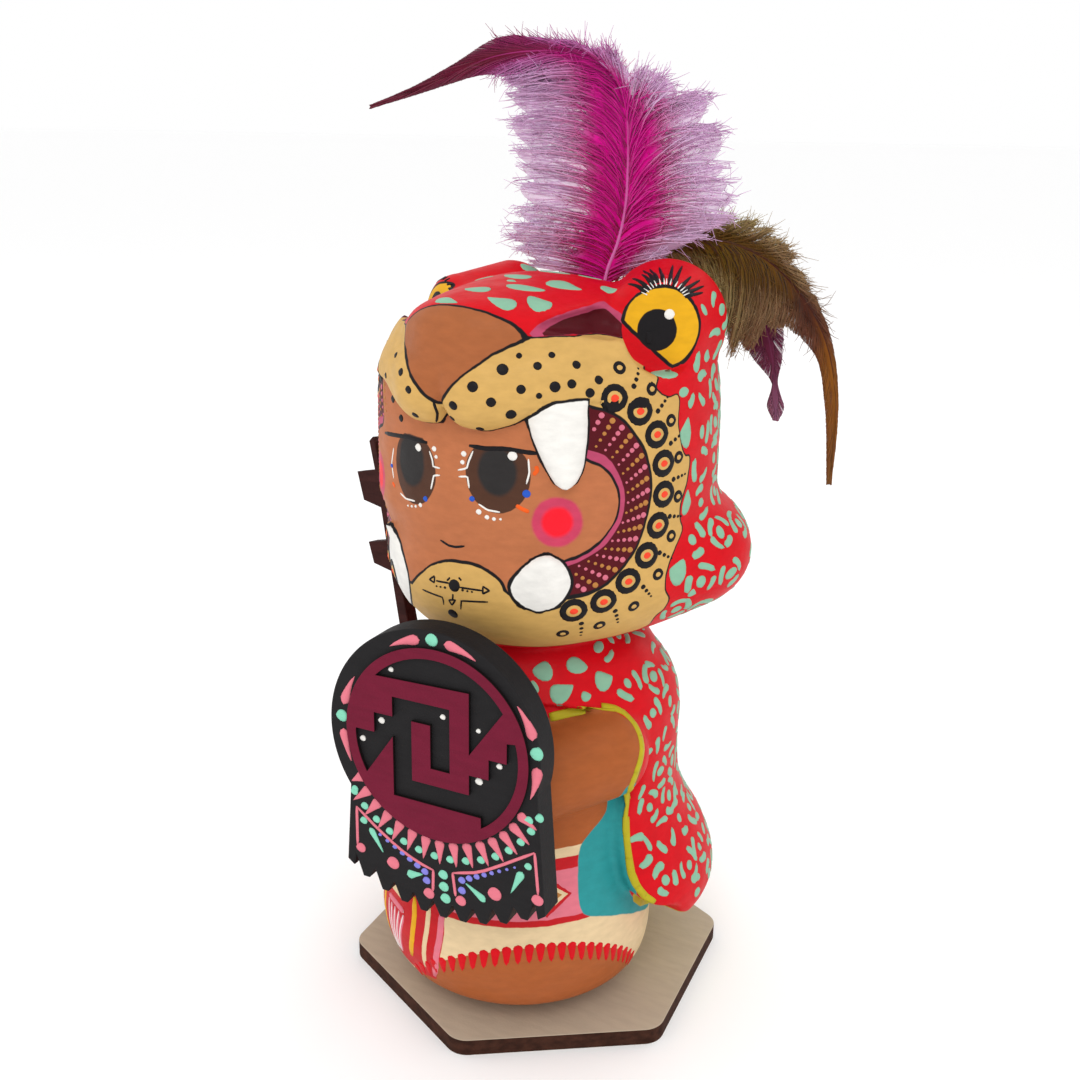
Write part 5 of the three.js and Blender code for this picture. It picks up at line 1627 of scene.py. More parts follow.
def cut_board(name, outlines, thickness, edge):
    """A flat board cut to the outlines, front towards -Y, with slightly rounded edges.

    Gives its points and faces, and for each face whether it is one of the board's sides.
    """
    curve = bpy.data.curves.new(name, "CURVE")
    curve.dimensions = "2D"
    curve.fill_mode = "BOTH"
    curve.extrude = thickness / 2 - edge
    curve.bevel_depth = edge
    curve.bevel_resolution = 2
    curve.offset = -edge
    for outline in outlines:
        spline = curve.splines.new("POLY")
        spline.points.add(len(outline) - 1)
        spline.points.foreach_set("co", np.array([(u, v, 0, 1) for u, v in outline], np.float32).ravel())
        spline.use_cyclic_u = True
    holder = bpy.data.objects.new(name + "_outline", curve)
    bpy.context.scene.collection.objects.link(holder)
    solid = bpy.data.meshes.new_from_object(holder.evaluated_get(bpy.context.evaluated_depsgraph_get()))
    bpy.data.objects.remove(holder)
    shape = bmesh.new()
    shape.from_mesh(solid)
    bmesh.ops.remove_doubles(shape, verts=shape.verts, dist=1e-4)
    bmesh.ops.recalc_face_normals(shape, faces=shape.faces)
    shape.verts.ensure_lookup_table()
    points = np.array([v.co for v in shape.verts])
    faces = [[v.index for v in face.verts] for face in shape.faces]
    sideways = [int(abs(face.normal.z) < 0.5) for face in shape.faces]
    shape.free()
    standing = np.stack([points[:, 0], -points[:, 2] - thickness / 2, points[:, 1]], 1)
    return standing, faces, sideways


def on_shield(points, forward=0.0):
    """From the shield's own plane to the figure's place."""
    turn = math.radians(SHIELD_TURN)
    cos, sin = math.cos(turn), math.sin(turn)
    x, y, z = np.asarray(points, float).T
    y = y - forward
    return np.stack([x * cos - y * sin, x * sin + y * cos, z], 1) + np.array(SHIELD_MIDDLE)


def front_of_board(points):
    """Millimetres in front of the shield board's face."""
    turn = math.radians(SHIELD_TURN)
    away = points - np.array(SHIELD_MIDDLE)
    return (away[:, 0] * math.sin(turn) - away[:, 1] * math.cos(turn)) - SHIELD_THICKNESS


def shield_place(aside, height, forward=SHIELD_THICKNESS):
    return on_shield([(aside, 0, height)], forward)[0]


def shield_point(radius, degrees):
    return radius * math.cos(math.radians(degrees)), radius * math.sin(math.radians(degrees))


def shield_drop(marks, head, tail, half_width, colour, bend=0.0):
    """A teardrop from its head to its tail, in the shield's plane."""
    (a, b), (c, d) = head, tail
    turn = math.degrees(math.atan2(d - b, c - a))
    middle = shield_place((a + c) / 2, (b + d) / 2)
    length = math.hypot(c - a, d - b)
    marks.drop(middle, length, half_width, colour, turn, bend, DROP_TAIL, SHIELD_MARK_HEIGHT)


def shield_dots(marks, dots, colour):
    for aside, height, radius in dots:
        marks.dot(shield_place(aside, height), radius, colour, SHIELD_MARK_HEIGHT)


def add_rim_marks(marks):
    for degrees, radius in RIM_DOTS:
        marks.dot(shield_place(*shield_point(radius, degrees)), RIM_DOT_RADIUS, "sea_mint", RIM_DOT_HEIGHT)
        for way in (-1, 1):
            head = shield_point(radius + RIM_DROP_LEAN, degrees + way * RIM_DROP_FROM)
            tail = shield_point(radius - RIM_DROP_LEAN, degrees + way * RIM_DROP_TO)
            shield_drop(marks, head, tail, RIM_DROP_HALF_WIDTH, "pink", way * RIM_DROP_BEND)


def add_fan_marks(marks):
    """Drops that fan out under the disc as far as the fringe goes, and the dots between them."""
    for degrees in np.linspace(*FAN_ANGLES, FAN_COUNT):
        edge = FAN_SIDES[0] if degrees < 270 else FAN_SIDES[1]
        reach = min(FAN_RADII[1], edge / math.cos(math.radians(degrees)))
        ends = shield_point(FAN_RADII[0], degrees), shield_point(reach, degrees)
        shield_drop(marks, *ends, FAN_DROP_HALF_WIDTH, "pink")
    spots = [shield_point(FAN_DOT_RADIUS, degrees) for degrees in np.linspace(*FAN_DOT_ANGLES, FAN_COUNT)]
    shield_dots(marks, [(*spot, FAN_DOT_SIZE) for spot in spots], "sea_mint")


def add_fringe_marks(marks):
    for line in FANCY_LINES:
        marks.stroke([shield_place(*p) for p in line], FANCY_HALF_WIDTH, "pink", FANCY_HEIGHT)
    for spots, colour in ((PINK_SPOTS, "pink"), (LILAC_SPOTS, "lilac"), (MINT_SPOTS, "sea_mint")):
        shield_dots(marks, spots, colour)
    for start, end, count, sizes in LILAC_ROWS:
        for share in np.linspace(0, 1, count):
            spot = [lerp(a, b, share) for a, b in zip(start, end)]
            marks.dot(shield_place(*spot), lerp(*sizes, share), "lilac", LILAC_HEIGHT)
    for head, tail, half_width in MINT_DROPS:
        shield_drop(marks, head, tail, half_width, "sea_mint")


def shield_marks():
    marks = Marks(front_of_board)
    add_rim_marks(marks)
    add_fan_marks(marks)
    add_fringe_marks(marks)
    return marks


def disc_marks():
    marks = Marks(front_of_board)
    shield_dots(marks, WHITE_SPOTS, "white")
    return marks


def build_shield():
    black = board_finish("black_board", BOARD_BLACK, 0.14, 0.62)
    burgundy = board_finish("burgundy_board", BURGUNDY, 0.12, 0.6)
    burnt = board_finish("burnt_edge", BURNT_EDGE, 0.3, 0.75)
    points, faces, _ = cut_board("fringed_shield", [shield_outline()], SHIELD_THICKNESS, SHIELD_EDGE)
    board = mesh_object("fringed_shield", on_shield(points), faces, [black], smooth=False)
    dress(board, "black_board", "shield_board")
    circle = [shield_point(DISC_BOARD_RADIUS, 360 * n / 120) for n in range(120)]
    outlines = [circle, fret_outline(**FRET_CRESCENT), fret_outline(**FRET_SPIRAL)]
    points, faces, sideways = cut_board("fretted_disc", outlines, DISC_THICKNESS, DISC_EDGE)
    points = on_shield(points, SHIELD_THICKNESS + FRONT_LIFT)
    disc = mesh_object("fretted_disc", points, faces, [burgundy, burnt], sideways, False)
    dress(disc, "burgundy_board", "shield_disc")
    dress(shield_marks().mesh("shield_marks"), "black_board")
    dress(disc_marks().mesh("shield_stars"), "burgundy_board")


# The club and the hexagonal board
CLUB_FOOT = (-16.4, -13, 45)
CLUB_TOP = (-30, -6.6, 92.6)
CLUB_THICKNESS = 3
CLUB_EDGE = 0.22
CLUB_TIP_SLOPE = 0.8
CLUB_FOOT_WIDTH = 2.6
CLUB_TOP_WIDTH = 1.3
CLUB_BLADES = [(25.2, 30.4), (36, 42.4)]
CLUB_BLADE_REACH = 3.7
CLUB_BLADE_TAPER = 0.8
BOARD_ACROSS = 68.6
BOARD_CORNER_RADIUS = 4
BOARD_TURN = 5.5
BOARD_EDGE = 0.15


def club_outline():
    length = math.hypot(CLUB_TOP[1] - CLUB_FOOT[1], CLUB_TOP[2] - CLUB_FOOT[2])

    def middle(v):
        return (CLUB_TOP[0] - CLUB_FOOT[0]) * v / length

    def half(v):
        return lerp(CLUB_FOOT_WIDTH, CLUB_TOP_WIDTH, v / length) / 2

    outline = [(middle(0) - half(0), 0)]
    for low, high in CLUB_BLADES:
        for v, reach in ((low, 0), (low + CLUB_BLADE_TAPER, 1), (high - CLUB_BLADE_TAPER, 1), (high, 0)):
            edge = low if v < (low + high) / 2 else high
            outline.append((middle(edge) - half(edge) - reach * CLUB_BLADE_REACH, v))
    outline += [(middle(length) - half(length), length - CLUB_TIP_SLOPE), (middle(length), length),
                (middle(length) + half(length), length - CLUB_TIP_SLOPE), (middle(0) + half(0), 0)]
    return outline[::-1]


def build_club():
    brown = board_finish("club_wood", CLUB_BROWN, 0.4, 0.65)
    points, faces, _ = cut_board("club_blade", [club_outline()], CLUB_THICKNESS, CLUB_EDGE)
    points = points + (0, CLUB_THICKNESS / 2, 0)
    lean = -math.atan2(CLUB_TOP[1] - CLUB_FOOT[1], CLUB_TOP[2] - CLUB_FOOT[2])
    x, y, z = points.T
    leant = np.stack([x, y * math.cos(lean) - z * math.sin(lean), y * math.sin(lean) + z * math.cos(lean)], 1)
    club = mesh_object("toothed_club", leant + np.array(CLUB_FOOT), faces, [brown], smooth=False)
    dress(club, "club_wood", "club")


def hexagon(steps=9):
    reach = BOARD_ACROSS / 2 - BOARD_CORNER_RADIUS / math.cos(math.pi / 6)
    outline = []
    for side in range(6):
        angle = math.radians(BOARD_TURN - 90 + 60 * side)
        for turn in np.linspace(angle - math.pi / 6, angle + math.pi / 6, steps):
            outline.append((reach * math.cos(angle) + BOARD_CORNER_RADIUS * math.cos(turn),
                            reach * math.sin(angle) + BOARD_CORNER_RADIUS * math.sin(turn)))
    return outline


def build_board():
    top = board_finish("pale_fibreboard", PLATE, 0.08, 0.75)
    side = board_finish("burnt_fibreboard", BURNT, 0.5, 0.8)
    points, faces, sideways = cut_board("hexagonal_base", [hexagon()], BOARD_THICKNESS, BOARD_EDGE)
    lying = np.stack([points[:, 0], points[:, 2], -points[:, 1] - GROUND], 1)
    made = mesh_object("hexagonal_base", lying, faces, [top, side], sideways, False)
    dress(made, "board", "base_board")


# Feathers: a tapering quill, rippled sheets beside it, and hundreds of fine barbs, each a thin closed sliver.
# Each place along one is (shaft x, shaft y, shaft height, left edge x and height, right edge x and height).
FEATHERS = {
    "feather_tall": [
        (3, 12.6, 116.4, 2.4, 116.4, 3.6, 116.4), (4.2, 12.2, 121.5, -12, 122.4, 13, 123.4),
        (6, 12, 126, -15.6, 126, 20.6, 127.4), (7.2, 12, 131.7, -14.4, 131, 27, 131.6),
        (7.4, 12, 137.5, -14, 137.4, 25.6, 137.5), (7.2, 12, 143.7, -15.6, 143.3, 24.4, 143.6),
        (6.2, 12, 149, -15.6, 148.6, 20.6, 149.8), (3.4, 12, 152.8, -15.8, 150.8, 8.4, 154.3),
        (-2, 12, 155, -16.4, 151.8, 0.4, 156.8), (-9.5, 12, 155.8, -18.2, 152.2, -8.6, 157.8),
        (-18, 12, 155, -22, 151.9, -17.2, 158), (-26, 12, 152.4, -27.4, 150.6, -25.4, 154.2),
        (-34.5, 12, 149.5, -35, 148.7, -34.2, 150.4), (-43.6, 12, 147, -43.6, 146.7, -43.6, 147.3)],
    "feather_brown": [
        (4, 15, 116.4, 3.4, 116.4, 4.6, 116.4), (5, 16, 121.4, 4.2, 121.6, 5.8, 121.2),
        (12, 19, 126, 10.8, 128.2, 12.6, 124), (20, 19, 127, 21, 130.6, 22, 118.6),
        (29, 19, 124.4, 30.4, 129, 24.6, 107.6), (36, 19, 118.4, 37, 120.2, 32, 113.4),
        (40.2, 19, 111.8, 41, 112.4, 38.2, 110), (42.6, 19, 102, 43, 102.2, 40.8, 101.6),
        (42.6, 19, 88.6, 43, 88.6, 42.2, 88.6)],
    "feather_drooping": [
        (1.6, 15.8, 116.4, 1, 116.4, 2.2, 116.4), (3.2, 18, 121, 2.6, 121.2, 3.8, 120.8),
        (12, 23, 123.6, 12, 124.4, 12, 122.8), (21, 23, 121.6, 22, 123.4, 20, 118.6),
        (27.4, 23, 115, 30.6, 117.6, 23, 111.4), (30, 23, 108, 31.8, 108.6, 27, 107),
        (30.8, 23, 103.4, 31.3, 103.4, 30.3, 103.4), (31.2, 23, 99.6, 32.7, 99.6, 29.7, 99.6),
        (31.4, 23, 97.3, 31.9, 97.3, 30.9, 97.3)],
}
BARB_STEPS = 6
DOWN_STEPS = 3
FEATHER_STEPS = 240
WEB_ROWS = 300
WEB_STEPS = 10
WEB_CLOSE = 5
WEB_RIPPLE = 0.06
WEB_HALF_THICK = 0.07
BASE_SPREAD = 0.2
SHAFT_ENDS = 0.995
SHADE_IN_FEATHERS = (0.62, 0.30, 0.48)
SHEEN = 0.06
FEATHER_PATCHES = (120, 2)
FEATHER_STREAKS = (420, 3, (1, 1, 0.5))
TIP_COLOUR_FROM, TIP_COLOUR_FULL = 0.42, 0.86
RIBBON_DEPTH = 0.05
DOWN_DEPTH = 0.04
LEAST_BARB = 0.4
DOWN_NEEDS = 5
BARB_OUTWARD = 0.14
LEAST_STEEP = 0.15
NOTCH_SHARPNESS = 2.6
LOBE_SIZES = (0.5, 1.6)
CLUMPING = 0.25
RAGGED = 0.2
BARB_WAVE = 0.014
BARB_TAPER = 0.68
WEB_INSET = 0.08
WEB_WAVE = 0.7
WEB_EDGE_THICK = 0.02
DOWN_TAPER = 0.6
QUILL_TAPER = 0.85


def smooth_places(places, steps):
    """Centripetal curve through the rows, at even shares of the way along."""
    rows = np.array(places, float)
    shaft = rows[:, :3]
    gaps = np.sqrt(np.maximum(np.linalg.norm(np.diff(shaft, axis=0), axis=1), 1e-6))
    knots = np.concatenate([[0], np.cumsum(gaps)])
    at = np.linspace(0, knots[-1], steps)
    slopes = np.gradient(rows, knots, axis=0)
    i = np.clip(np.searchsorted(knots, at) - 1, 0, len(knots) - 2)
    gap = (knots[i + 1] - knots[i])[:, None]
    t = ((at - knots[i]) / gap[:, 0])[:, None]
    return hermite(rows[i], rows[i + 1], gap * slopes[i], gap * slopes[i + 1], t)


def feather_finish(name, stops, strength=0.22, solid=1.0):
    """Colour by how far along the feather and how far out along a barb, from the mesh's own attributes."""
    finish = Finish(name, 0.6)
    along_it = finish.node("ShaderNodeAttribute", {"attribute_name": "along"}).outputs["Fac"]
    out = finish.node("ShaderNodeAttribute", {"attribute_name": "out"}).outputs["Fac"]
    uneven = finish.spread(finish.noise(*FEATHER_PATCHES), 0.3, 0.7, -0.03, 0.03, smooth=False)
    ragged = finish.math("ADD", along_it, uneven)
    rows = []
    for column in range(2):
        ramp = finish.node("ShaderNodeValToRGB", Fac=ragged)
        ramp.color_ramp.interpolation = "EASE"
        while len(ramp.color_ramp.elements) < len(stops):
            ramp.color_ramp.elements.new(0.5)
        for element, stop in zip(ramp.color_ramp.elements, stops):
            element.position = stop[0]
            element.color = linear(stop[1 + column])
        rows.append(ramp.outputs["Color"])
    colour = finish.mix(finish.spread(out, TIP_COLOUR_FROM, TIP_COLOUR_FULL, 0, 1), *rows)
    tone = finish.spread(finish.noise(*FEATHER_STREAKS), 0.35, 0.7, 0, strength)
    finish.colour(finish.mix(tone, colour, linear(SHADE_IN_FEATHERS), "MULTIPLY"))
    finish.shader.inputs["Sheen Weight"].default_value = SHEEN
    finish.shader.inputs["Alpha"].default_value = solid
    return finish.material


def ribbons(curves, half_widths, depth):
    """Closed three-sided ribbons along the curves, which lie about in the feather's plane."""
    count, steps = curves.shape[:2]
    heading = unit(np.gradient(curves, axis=1))
    side = unit(np.cross(heading, (0, 1, 0)))
    front = np.cross(side, heading)
    wide = side * half_widths[..., None]
    points = np.stack([curves + wide, curves + front * depth, curves - wide], 2).reshape(-1, 3)
    faces = []
    for step in range(steps - 1):
        for k in range(3):
            a, b = step * 3 + k, step * 3 + (k + 1) % 3
            faces.append((a, b, b + 3, a + 3))
    last = (steps - 1) * 3
    ends = [(0, 2, 1), (last, last + 1, last + 2)]
    shift = (np.arange(count) * steps * 3)[:, None, None]
    quads = (np.array(faces)[None] + shift).reshape(-1, 4)
    triangles = (np.array(ends)[None] + shift).reshape(-1, 3)
    return points, np.concatenate([quads[:, :3], quads[:, [0, 2, 3]], triangles])


def pick(line, at, where):
    """Places on the line, whose own places are at the shares "at"."""
    return np.stack([np.interp(where, at, line[:, k]) for k in range(3)], 1)


def barb_lines(rows, side, look, place, tip_at, reach, steps):
    """Curves that leave the shaft steeply at each place and bend out towards the edge."""
    shaft = rows[:, :3]
    edge = np.stack([rows[:, 3 if side < 0 else 5], rows[:, 1], rows[:, 4 if side < 0 else 6]], 1)
    at = np.linspace(0, 1, len(rows))
    heading = unit(np.gradient(shaft, axis=0))
    start, tip = pick(shaft, at, place), pick(edge, at, tip_at)
    end = start + (tip - start) * reach[:, None]
    size = np.linalg.norm(end - start, axis=1)[:, None]
    steep = look["steep"] * np.clip(place / BASE_SPREAD, LEAST_STEEP, 1)[:, None]
    bend = start + pick(heading, at, place) * size * steep + (end - start) * BARB_OUTWARD
    t = np.linspace(0, 1, steps)[None, :, None]
    return start[:, None] * (1 - t) ** 2 + bend[:, None] * 2 * t * (1 - t) + end[:, None] * t * t, size[:, 0]


def lobe_edges(look, side):
    """Where the rounded lobes of a side begin and end along the feather, of uneven sizes."""
    chance = np.random.default_rng(10 * look["seed"] + side)
    return np.cumsum(look["clump"] * chance.uniform(*LOBE_SIZES, int(2 / look["clump"]))) - look["clump"]


def ragged_reach(look, side, tip_at, loose):
    """The middle of each barb's lobe, and how far out towards the edge the barb goes."""
    edges = lobe_edges(look, side)
    i = np.clip(np.searchsorted(edges, tip_at) - 1, 0, len(edges) - 2)
    low, high = edges[i], edges[i + 1]
    notch = np.clip(np.abs(2 * tip_at - low - high) / (high - low), 0, 1)
    depth = look["notch"] * loose * np.minimum((high - low) / look["clump"], 1)
    return (low + high) / 2, 1 - depth * notch ** NOTCH_SHARPNESS


def looseness(look, place):
    """How loose the feather is at each share of the way along it."""
    return np.interp(place, *np.array(look["fluff"]).T)


def lead_of(look, place):
    """How much farther along the feather a barb ends than it begins, less near the foot."""
    return look["lead"] * np.clip(place / BASE_SPREAD, 0.2, 1)


def vane(rows, side, look, chance, count):
    """Barbs of one side, in loose clumps, with how far along the feather each one starts."""
    place = np.sort(chance.uniform(look["from"], SHAFT_ENDS, count))
    loose = looseness(look, place)
    tip_at = place + lead_of(look, place) * (1 + chance.normal(0, 0.2, count) * (0.2 + loose))
    middle, reach = ragged_reach(look, side, tip_at, loose)
    tip_at = np.clip(tip_at + (middle - tip_at) * CLUMPING * loose, 0, 1)
    reach = reach * (1 - RAGGED * chance.random(count) ** 2 * (0.1 + loose))
    curves, size = barb_lines(rows, side, look, place, tip_at, reach, BARB_STEPS)
    t = np.linspace(0, 1, BARB_STEPS)[None, :, None]
    off = chance.normal(0, look["depth"], (count, 1, 1)) * (0.15 + loose)[:, None, None]
    curves = curves + np.concatenate([0 * off, off, 0 * off], 2) * t
    wave = chance.normal(0, 1, (count, 1, 3)) * (BARB_WAVE * size * loose)[:, None, None]
    curves = curves + wave * np.sin(t * math.pi * chance.uniform(1.3, 2.6, (count, 1, 1)))
    kept = size > LEAST_BARB
    share = np.linspace(0, 1, BARB_STEPS)[None]
    widths = look["width"] * (1 - BARB_TAPER * share ** 1.3) * chance.uniform(0.8, 1.25, (count, 1))
    return curves[kept], widths[kept], place[kept]


def sheet(lines, half_thick):
    """A thin closed sheet through a grid of places, rows of lines; half_thick is given along each line."""
    rows, columns = lines.shape[:2]
    off = np.zeros((columns, 3))
    off[:, 1] = half_thick
    points = np.stack([lines - off, lines + off], 0).reshape(-1, 3)
    behind = rows * columns
    a = (np.arange(rows - 1)[:, None] * columns + np.arange(columns - 1)[None]).ravel()
    across, beyond = a + 1 + columns, a + columns
    front = np.concatenate([np.stack([a, a + 1, across], 1), np.stack([a, across, beyond], 1)])
    rim = list(range(columns - 1)) + [row * columns + columns - 1 for row in range(rows - 1)]
    rim += [behind - 1 - step for step in range(columns - 1)]
    rim += [row * columns for row in range(rows - 1, 0, -1)]
    a, b = np.array(rim), np.roll(rim, -1)
    sides = np.concatenate([np.stack([b, a, a + behind], 1), np.stack([b, a + behind, b + behind], 1)])
    return points, np.concatenate([front, front[:, ::-1] + behind, sides])


def web(rows, side, look):
    """Two rippled sheets of one side: the close part next to the shaft, and the wispy part beyond it."""
    place = np.linspace(look["from"], SHAFT_ENDS, WEB_ROWS)
    loose = looseness(look, place)
    tip_at = np.clip(place + lead_of(look, place), 0, 1)
    _, reach = ragged_reach(look, side, tip_at, loose)
    lines, _ = barb_lines(rows, side, look, place, tip_at, reach * (1 - WEB_INSET * loose), WEB_STEPS)
    ripple = WEB_RIPPLE * np.where(np.arange(WEB_ROWS) % 2, 1, -1)
    lines[..., 1] += ripple[:, None] * np.linspace(0.3, 1, WEB_STEPS)[None]
    share = np.linspace(0, 1, WEB_STEPS)
    wave = np.sin(place * 2 * math.pi / look["clump"] + side)[:, None] * share[None] ** 1.5
    lines[..., 1] += WEB_WAVE * look["depth"] * wave * loose[:, None]
    thick = WEB_HALF_THICK * (1 - share ** 2) + WEB_EDGE_THICK
    parts = []
    for first, last in ((0, WEB_CLOSE + 1), (WEB_CLOSE, WEB_STEPS)):
        points, faces = sheet(lines[:, first:last], thick[first:last])
        if side < 0:
            faces = faces[:, ::-1]
        out = np.tile(share[None, first:last], (2 * WEB_ROWS, 1)).ravel()
        parts.append((points, faces, out, np.tile(np.repeat(place, last - first), 2)))
    return parts


def down(curves, place, chance, look, count):
    """Fine pale slivers off the outer parts of the barbs."""
    loose = looseness(look, place) * (np.linalg.norm(curves[:, -1] - curves[:, 0], axis=1) > DOWN_NEEDS)
    picked = chance.choice(len(curves), count, p=loose / loose.sum())
    where = chance.uniform(0.4, 1.0, count) * (BARB_STEPS - 1)
    i = np.minimum(where.astype(int), BARB_STEPS - 2)
    start = lerp(curves[picked, i], curves[picked, i + 1], (where - i)[:, None])
    heading = unit(curves[picked, i + 1] - curves[picked, i], 1e-6)
    way = unit(heading + chance.normal(0, 1, (count, 3)) * (0.5, 0.25, 0.5))
    size = look["down_length"] * chance.uniform(0.4, 1.1, count)[:, None, None]
    t = np.linspace(0, 1, DOWN_STEPS)[None, :, None]
    sag_way = chance.normal(0, 0.35, (count, 1, 3)) * (1, 0.3, 1)
    made = start[:, None] + way[:, None] * size * t + sag_way * size * t * t
    widths = look["down_width"] * (1 - DOWN_TAPER * np.linspace(0, 1, DOWN_STEPS))[None].repeat(count, 0)
    return made, widths, place[picked], where / (BARB_STEPS - 1)


# One look a feather. Its fluff says how loose it is along its length, and its stops are
# (share along, colour near the shaft, colour at the tips of the barbs).
FEATHER_LOOKS = {
    "feather_tall": {
        "piece": "magenta_plume", "slot": "magenta_feather", "seed": 3, "count": (1000, 1000), "down": 4400,
        "fluff": [(0.0, 1.0), (0.40, 0.9), (0.48, 0.5), (0.56, 0.1), (0.64, 0.0), (1.0, 0.0)],
        "from": 0.035, "lead": 0.13, "clump": 0.05, "notch": 0.24, "steep": 0.42, "depth": 0.75,
        "width": 0.15,
        "down_length": 2.3, "down_width": 0.07,
        "stops": [(0.0, (0.74, 0.0, 0.48), (0.86, 0.72, 0.86)), (0.12, (0.82, 0.0, 0.54), (0.88, 0.74, 0.88)),
                  (0.36, (0.80, 0.0, 0.54), (0.84, 0.66, 0.83)),
                  (0.46, (0.70, 0.0, 0.46), (0.76, 0.42, 0.68)),
                  (0.56, (0.52, 0.05, 0.30), (0.58, 0.12, 0.38)),
                  (0.66, (0.44, 0.07, 0.20), (0.44, 0.08, 0.22)),
                  (1.0, (0.40, 0.06, 0.16), (0.42, 0.08, 0.18))],
        "quill": [(0.0, (0.84, 0.50, 0.76)), (0.4, (0.70, 0.20, 0.50)), (1.0, (0.34, 0.05, 0.14))],
    },
    "feather_brown": {
        "piece": "brown_plume", "slot": "brown_feather", "seed": 5, "count": (900, 1200), "down": 3000,
        "fluff": [(0.0, 1.0), (0.40, 0.8), (0.52, 0.3), (0.6, 0.05), (0.66, 0.0), (1.0, 0.0)],
        "from": 0.07, "lead": 0.10, "clump": 0.05, "notch": 0.26, "steep": 0.4, "depth": 0.6, "width": 0.14,
        "down_length": 2.1, "down_width": 0.06,
        "stops": [(0.0, (0.46, 0.33, 0.06), (0.66, 0.58, 0.36)),
                  (0.25, (0.45, 0.34, 0.06), (0.66, 0.59, 0.38)),
                  (0.46, (0.40, 0.27, 0.07), (0.60, 0.48, 0.34)),
                  (0.58, (0.30, 0.15, 0.10), (0.44, 0.26, 0.18)),
                  (0.74, (0.56, 0.34, 0.10), (0.58, 0.36, 0.12)),
                  (1.0, (0.50, 0.33, 0.16), (0.52, 0.34, 0.18))],
        "quill": [(0.0, (0.62, 0.52, 0.34)), (0.5, (0.26, 0.12, 0.09)), (1.0, (0.30, 0.15, 0.10))],
    },
    "feather_drooping": {
        "piece": "burgundy_plume", "slot": "burgundy_feather", "seed": 9, "count": (500, 650), "down": 1000,
        "fluff": [(0.0, 0.9), (0.4, 0.6), (0.56, 0.15), (0.66, 0.0), (1.0, 0.0)],
        "from": 0.07, "lead": 0.11, "clump": 0.07, "notch": 0.25, "steep": 0.4, "depth": 0.4, "width": 0.13,
        "down_length": 1.8, "down_width": 0.06,
        "stops": [(0.0, (0.50, 0.12, 0.36), (0.66, 0.46, 0.56)),
                  (0.4, (0.46, 0.12, 0.28), (0.60, 0.34, 0.46)),
                  (0.6, (0.44, 0.16, 0.28), (0.50, 0.24, 0.36)),
                  (1.0, (0.60, 0.38, 0.50), (0.62, 0.42, 0.52))],
        "quill": [(0.0, (0.60, 0.30, 0.46)), (1.0, (0.40, 0.14, 0.26))],
    },
}
SHAFT_RADIUS = 0.34
SHAFT_SIDES = 8
WISP_SOLID = 0.42


def shaft_tube(rows, radius):
    """A closed tapering quill along the rows' shaft."""
    line = rows[:, :3]
    count, sides = len(line), SHAFT_SIDES
    heading = unit(np.gradient(line, axis=0))
    side = unit(np.cross(heading, (0, 1, 0)))
    depth = np.cross(side, heading)
    size = radius * (1 - QUILL_TAPER * np.linspace(0, 1, count))
    rings = [line + (side * math.cos(a) + depth * math.sin(a)) * size[:, None]
             for a in -np.arange(sides) * 2 * math.pi / sides]
    points = np.stack(rings, 1).reshape(-1, 3)
    faces = []
    for step in range(count - 1):
        for k in range(sides):
            a, b = step * sides + k, step * sides + (k + 1) % sides
            faces += [(a, b, b + sides), (a, b + sides, a + sides)]
    last = (count - 1) * sides
    for k in range(1, sides - 1):
        faces += [(0, k + 1, k), (last, last + k, last + k + 1)]
    place = np.repeat(np.linspace(0, 1, count), sides)
    return points, np.array(faces), 0 * place, place


def build_feather(node, look):
    chance = np.random.default_rng(look["seed"])
    rows = smooth_places(FEATHERS[node], FEATHER_STEPS)
    parts = [shaft_tube(rows, SHAFT_RADIUS) + (1,)]
    for side, count in zip((-1, 1), look["count"]):
        close, wisp = web(rows, side, look)
        parts += [close + (0,), wisp + (2,)]
        curves, widths, place = vane(rows, side, look, chance, count)
        points, faces = ribbons(curves, widths, RIBBON_DEPTH)
        out = np.tile(np.repeat(np.linspace(0, 1, BARB_STEPS), 3), len(curves))
        parts.append((points, faces, out, np.repeat(place, BARB_STEPS * 3), 0))
        curves, widths, place, out = down(curves, place, chance, look, look["down"] // 2)
        points, faces = ribbons(curves, widths, DOWN_DEPTH)
        parts.append((points, faces, np.repeat(out, DOWN_STEPS * 3), np.repeat(place, DOWN_STEPS * 3), 0))
    starts = np.cumsum([0] + [len(part[0]) for part in parts])
    faces = np.concatenate([part[1] + start for part, start in zip(parts, starts)])
    finish_of = np.concatenate([np.full(len(part[1]), part[4]) for part in parts])
    quill = [(at, colour, colour) for at, colour in look["quill"]]
    finishes = [feather_finish(look["slot"], look["stops"]),
                feather_finish(look["slot"] + "_quill", quill, 0.05),
                feather_finish(look["slot"] + "_wisp", look["stops"], 0.1, WISP_SOLID)]
    points = np.concatenate([part[0] for part in parts])
    made = mesh_object(look["piece"], points, faces, finishes, finish_of)
    for name, column in (("out", 2), ("along", 3)):
        keep_values(made, name, np.concatenate([part[column] for part in parts]))
    dress(made, look["slot"], node)


COLOURS = {"black": BLACK, "gold": GOLD, "orange_red": ORANGE_RED, "dot_pink": DOT_PINK,
           "dull_gold": DULL_GOLD, "white": WHITE, "blue": BLUE, "orange": ORANGE, "mint": MINT,
           "pink": PINK, "lilac": LILAC, "red": RED, "dark_red": DARK_RED, "cream": CREAM, "yellow": YELLOW,
           "olive": OLIVE, "sea_mint": SEA_MINT}
PAINTS = {name: paint_finish("paint_" + name, colour) for name, colour in COLOURS.items()}


EVENED_WITHIN = (0.4, 2.5)


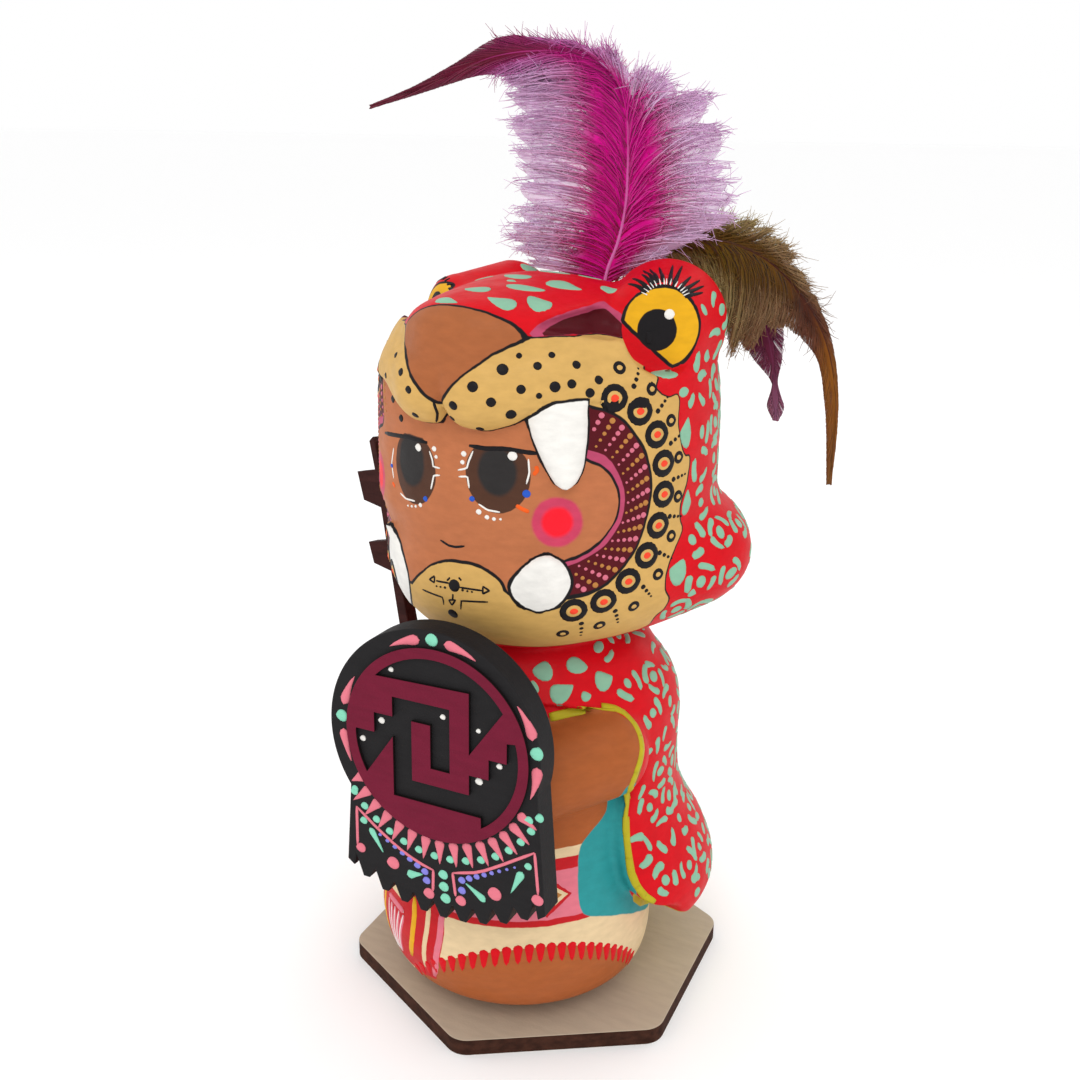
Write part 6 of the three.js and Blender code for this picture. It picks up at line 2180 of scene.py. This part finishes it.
def evened(points, faces, distance):
    """A region's distance made true along the surface, where the unrolled map stretches it."""
    steepness, edges = np.zeros(len(points)), np.zeros(len(points))
    for corner in range(4):
        a, b = faces[:, corner], faces[:, (corner + 1) % 4]
        rise = (distance[a] - distance[b]) ** 2
        run = np.maximum(((points[a] - points[b]) ** 2).sum(1), 1e-6)
        for end in (a, b):
            np.add.at(steepness, end, rise)
            np.add.at(edges, end, run)
    return distance / np.clip(np.sqrt(2 * steepness / edges), *EVENED_WITHIN)


def build_clay():
    points, faces = net(clay, FINE_CELL)
    points = onto(clay, points, 2, 0.5)
    points[:, 2] = np.maximum(points[:, 2], 0)
    made = mesh_object("painted_figure", points, faces, [painted_clay_finish()])
    lined = [name for name, _, line in PAINT if line]
    for name, distance in painted_regions(points).items():
        if name in lined:
            distance = evened(points, faces, distance)
        keep_values(made, name, np.clip(distance, -FAR, FAR))
    dress(made, "painted_clay", "clay_figure")


build_clay()
for name, marks_of in (("face_marks", face_marks), ("mint_spots", spot_marks), ("skirt_marks", skirt_marks)):
    dress(marks_of().mesh(name), "painted_clay")
build_shield()
build_club()
build_board()
for node, look in FEATHER_LOOKS.items():
    build_feather(node, look)


# Floor, light and camera
FLOOR_SHADE = (0.995, 0.995, 0.995)
FLOOR_SIZE = 60
DAYLIGHT = 1.0
LIGHTS_AIM = (0, 0, 0.08)
# (name, place, size, power, colour)
LIGHTS = [("window", (0.30, -0.55, 0.62), 0.5, 2.0, (1, 0.99, 0.97)),
          ("fill", (-0.55, -0.30, 0.30), 0.6, 0.45, (1, 1, 1)),
          ("back", (0.10, 0.55, 0.55), 0.5, 0.5, (1, 1, 1))]
SENSOR_WIDTH = 36
NEAREST_SEEN = 0.01


def add_light(name, place, size, power, colour):
    light = bpy.data.lights.new(name, "AREA")
    light.size = size
    light.energy = power
    light.color = colour
    made = bpy.data.objects.new(name, light)
    made.location = place
    made.rotation_euler = (Vector(LIGHTS_AIM) - Vector(place)).to_track_quat("-Z", "Y").to_euler()
    bpy.context.scene.collection.objects.link(made)


def add_stage():
    bpy.ops.mesh.primitive_plane_add(size=FLOOR_SIZE)
    floor = bpy.context.object
    floor.name = "floor"
    finish = Finish("floor_paper", 0.9)
    finish.colour(linear(FLOOR_SHADE))
    floor.data.materials.append(finish.material)
    for light in LIGHTS:
        add_light(*light)
    world = bpy.data.worlds.new("daylight")
    world.use_nodes = True
    background = world.node_tree.nodes["Background"]
    background.inputs["Color"].default_value = (1, 1, 1, 1)
    background.inputs["Strength"].default_value = DAYLIGHT
    bpy.context.scene.world = world


def add_camera():
    right, up, back = view_axes()
    camera = bpy.data.cameras.new("camera")
    camera.sensor_width = SENSOR_WIDTH
    camera.lens = SENSOR_WIDTH / 2 / math.tan(math.radians(VIEW_ANGLE / 2))
    made = bpy.data.objects.new("camera", camera)
    place = (np.array(VIEW_FROM) + (0, 0, BOARD_THICKNESS)) * METRES
    turned = Matrix([list(row) for row in np.stack([right, up, back], 1)]).to_4x4()
    made.matrix_world = Matrix.Translation(place.tolist()) @ turned
    camera.clip_start = NEAREST_SEEN
    bpy.context.scene.collection.objects.link(made)
    bpy.context.scene.camera = made
    bpy.context.scene.view_settings.view_transform = "Standard"


add_stage()
add_camera()
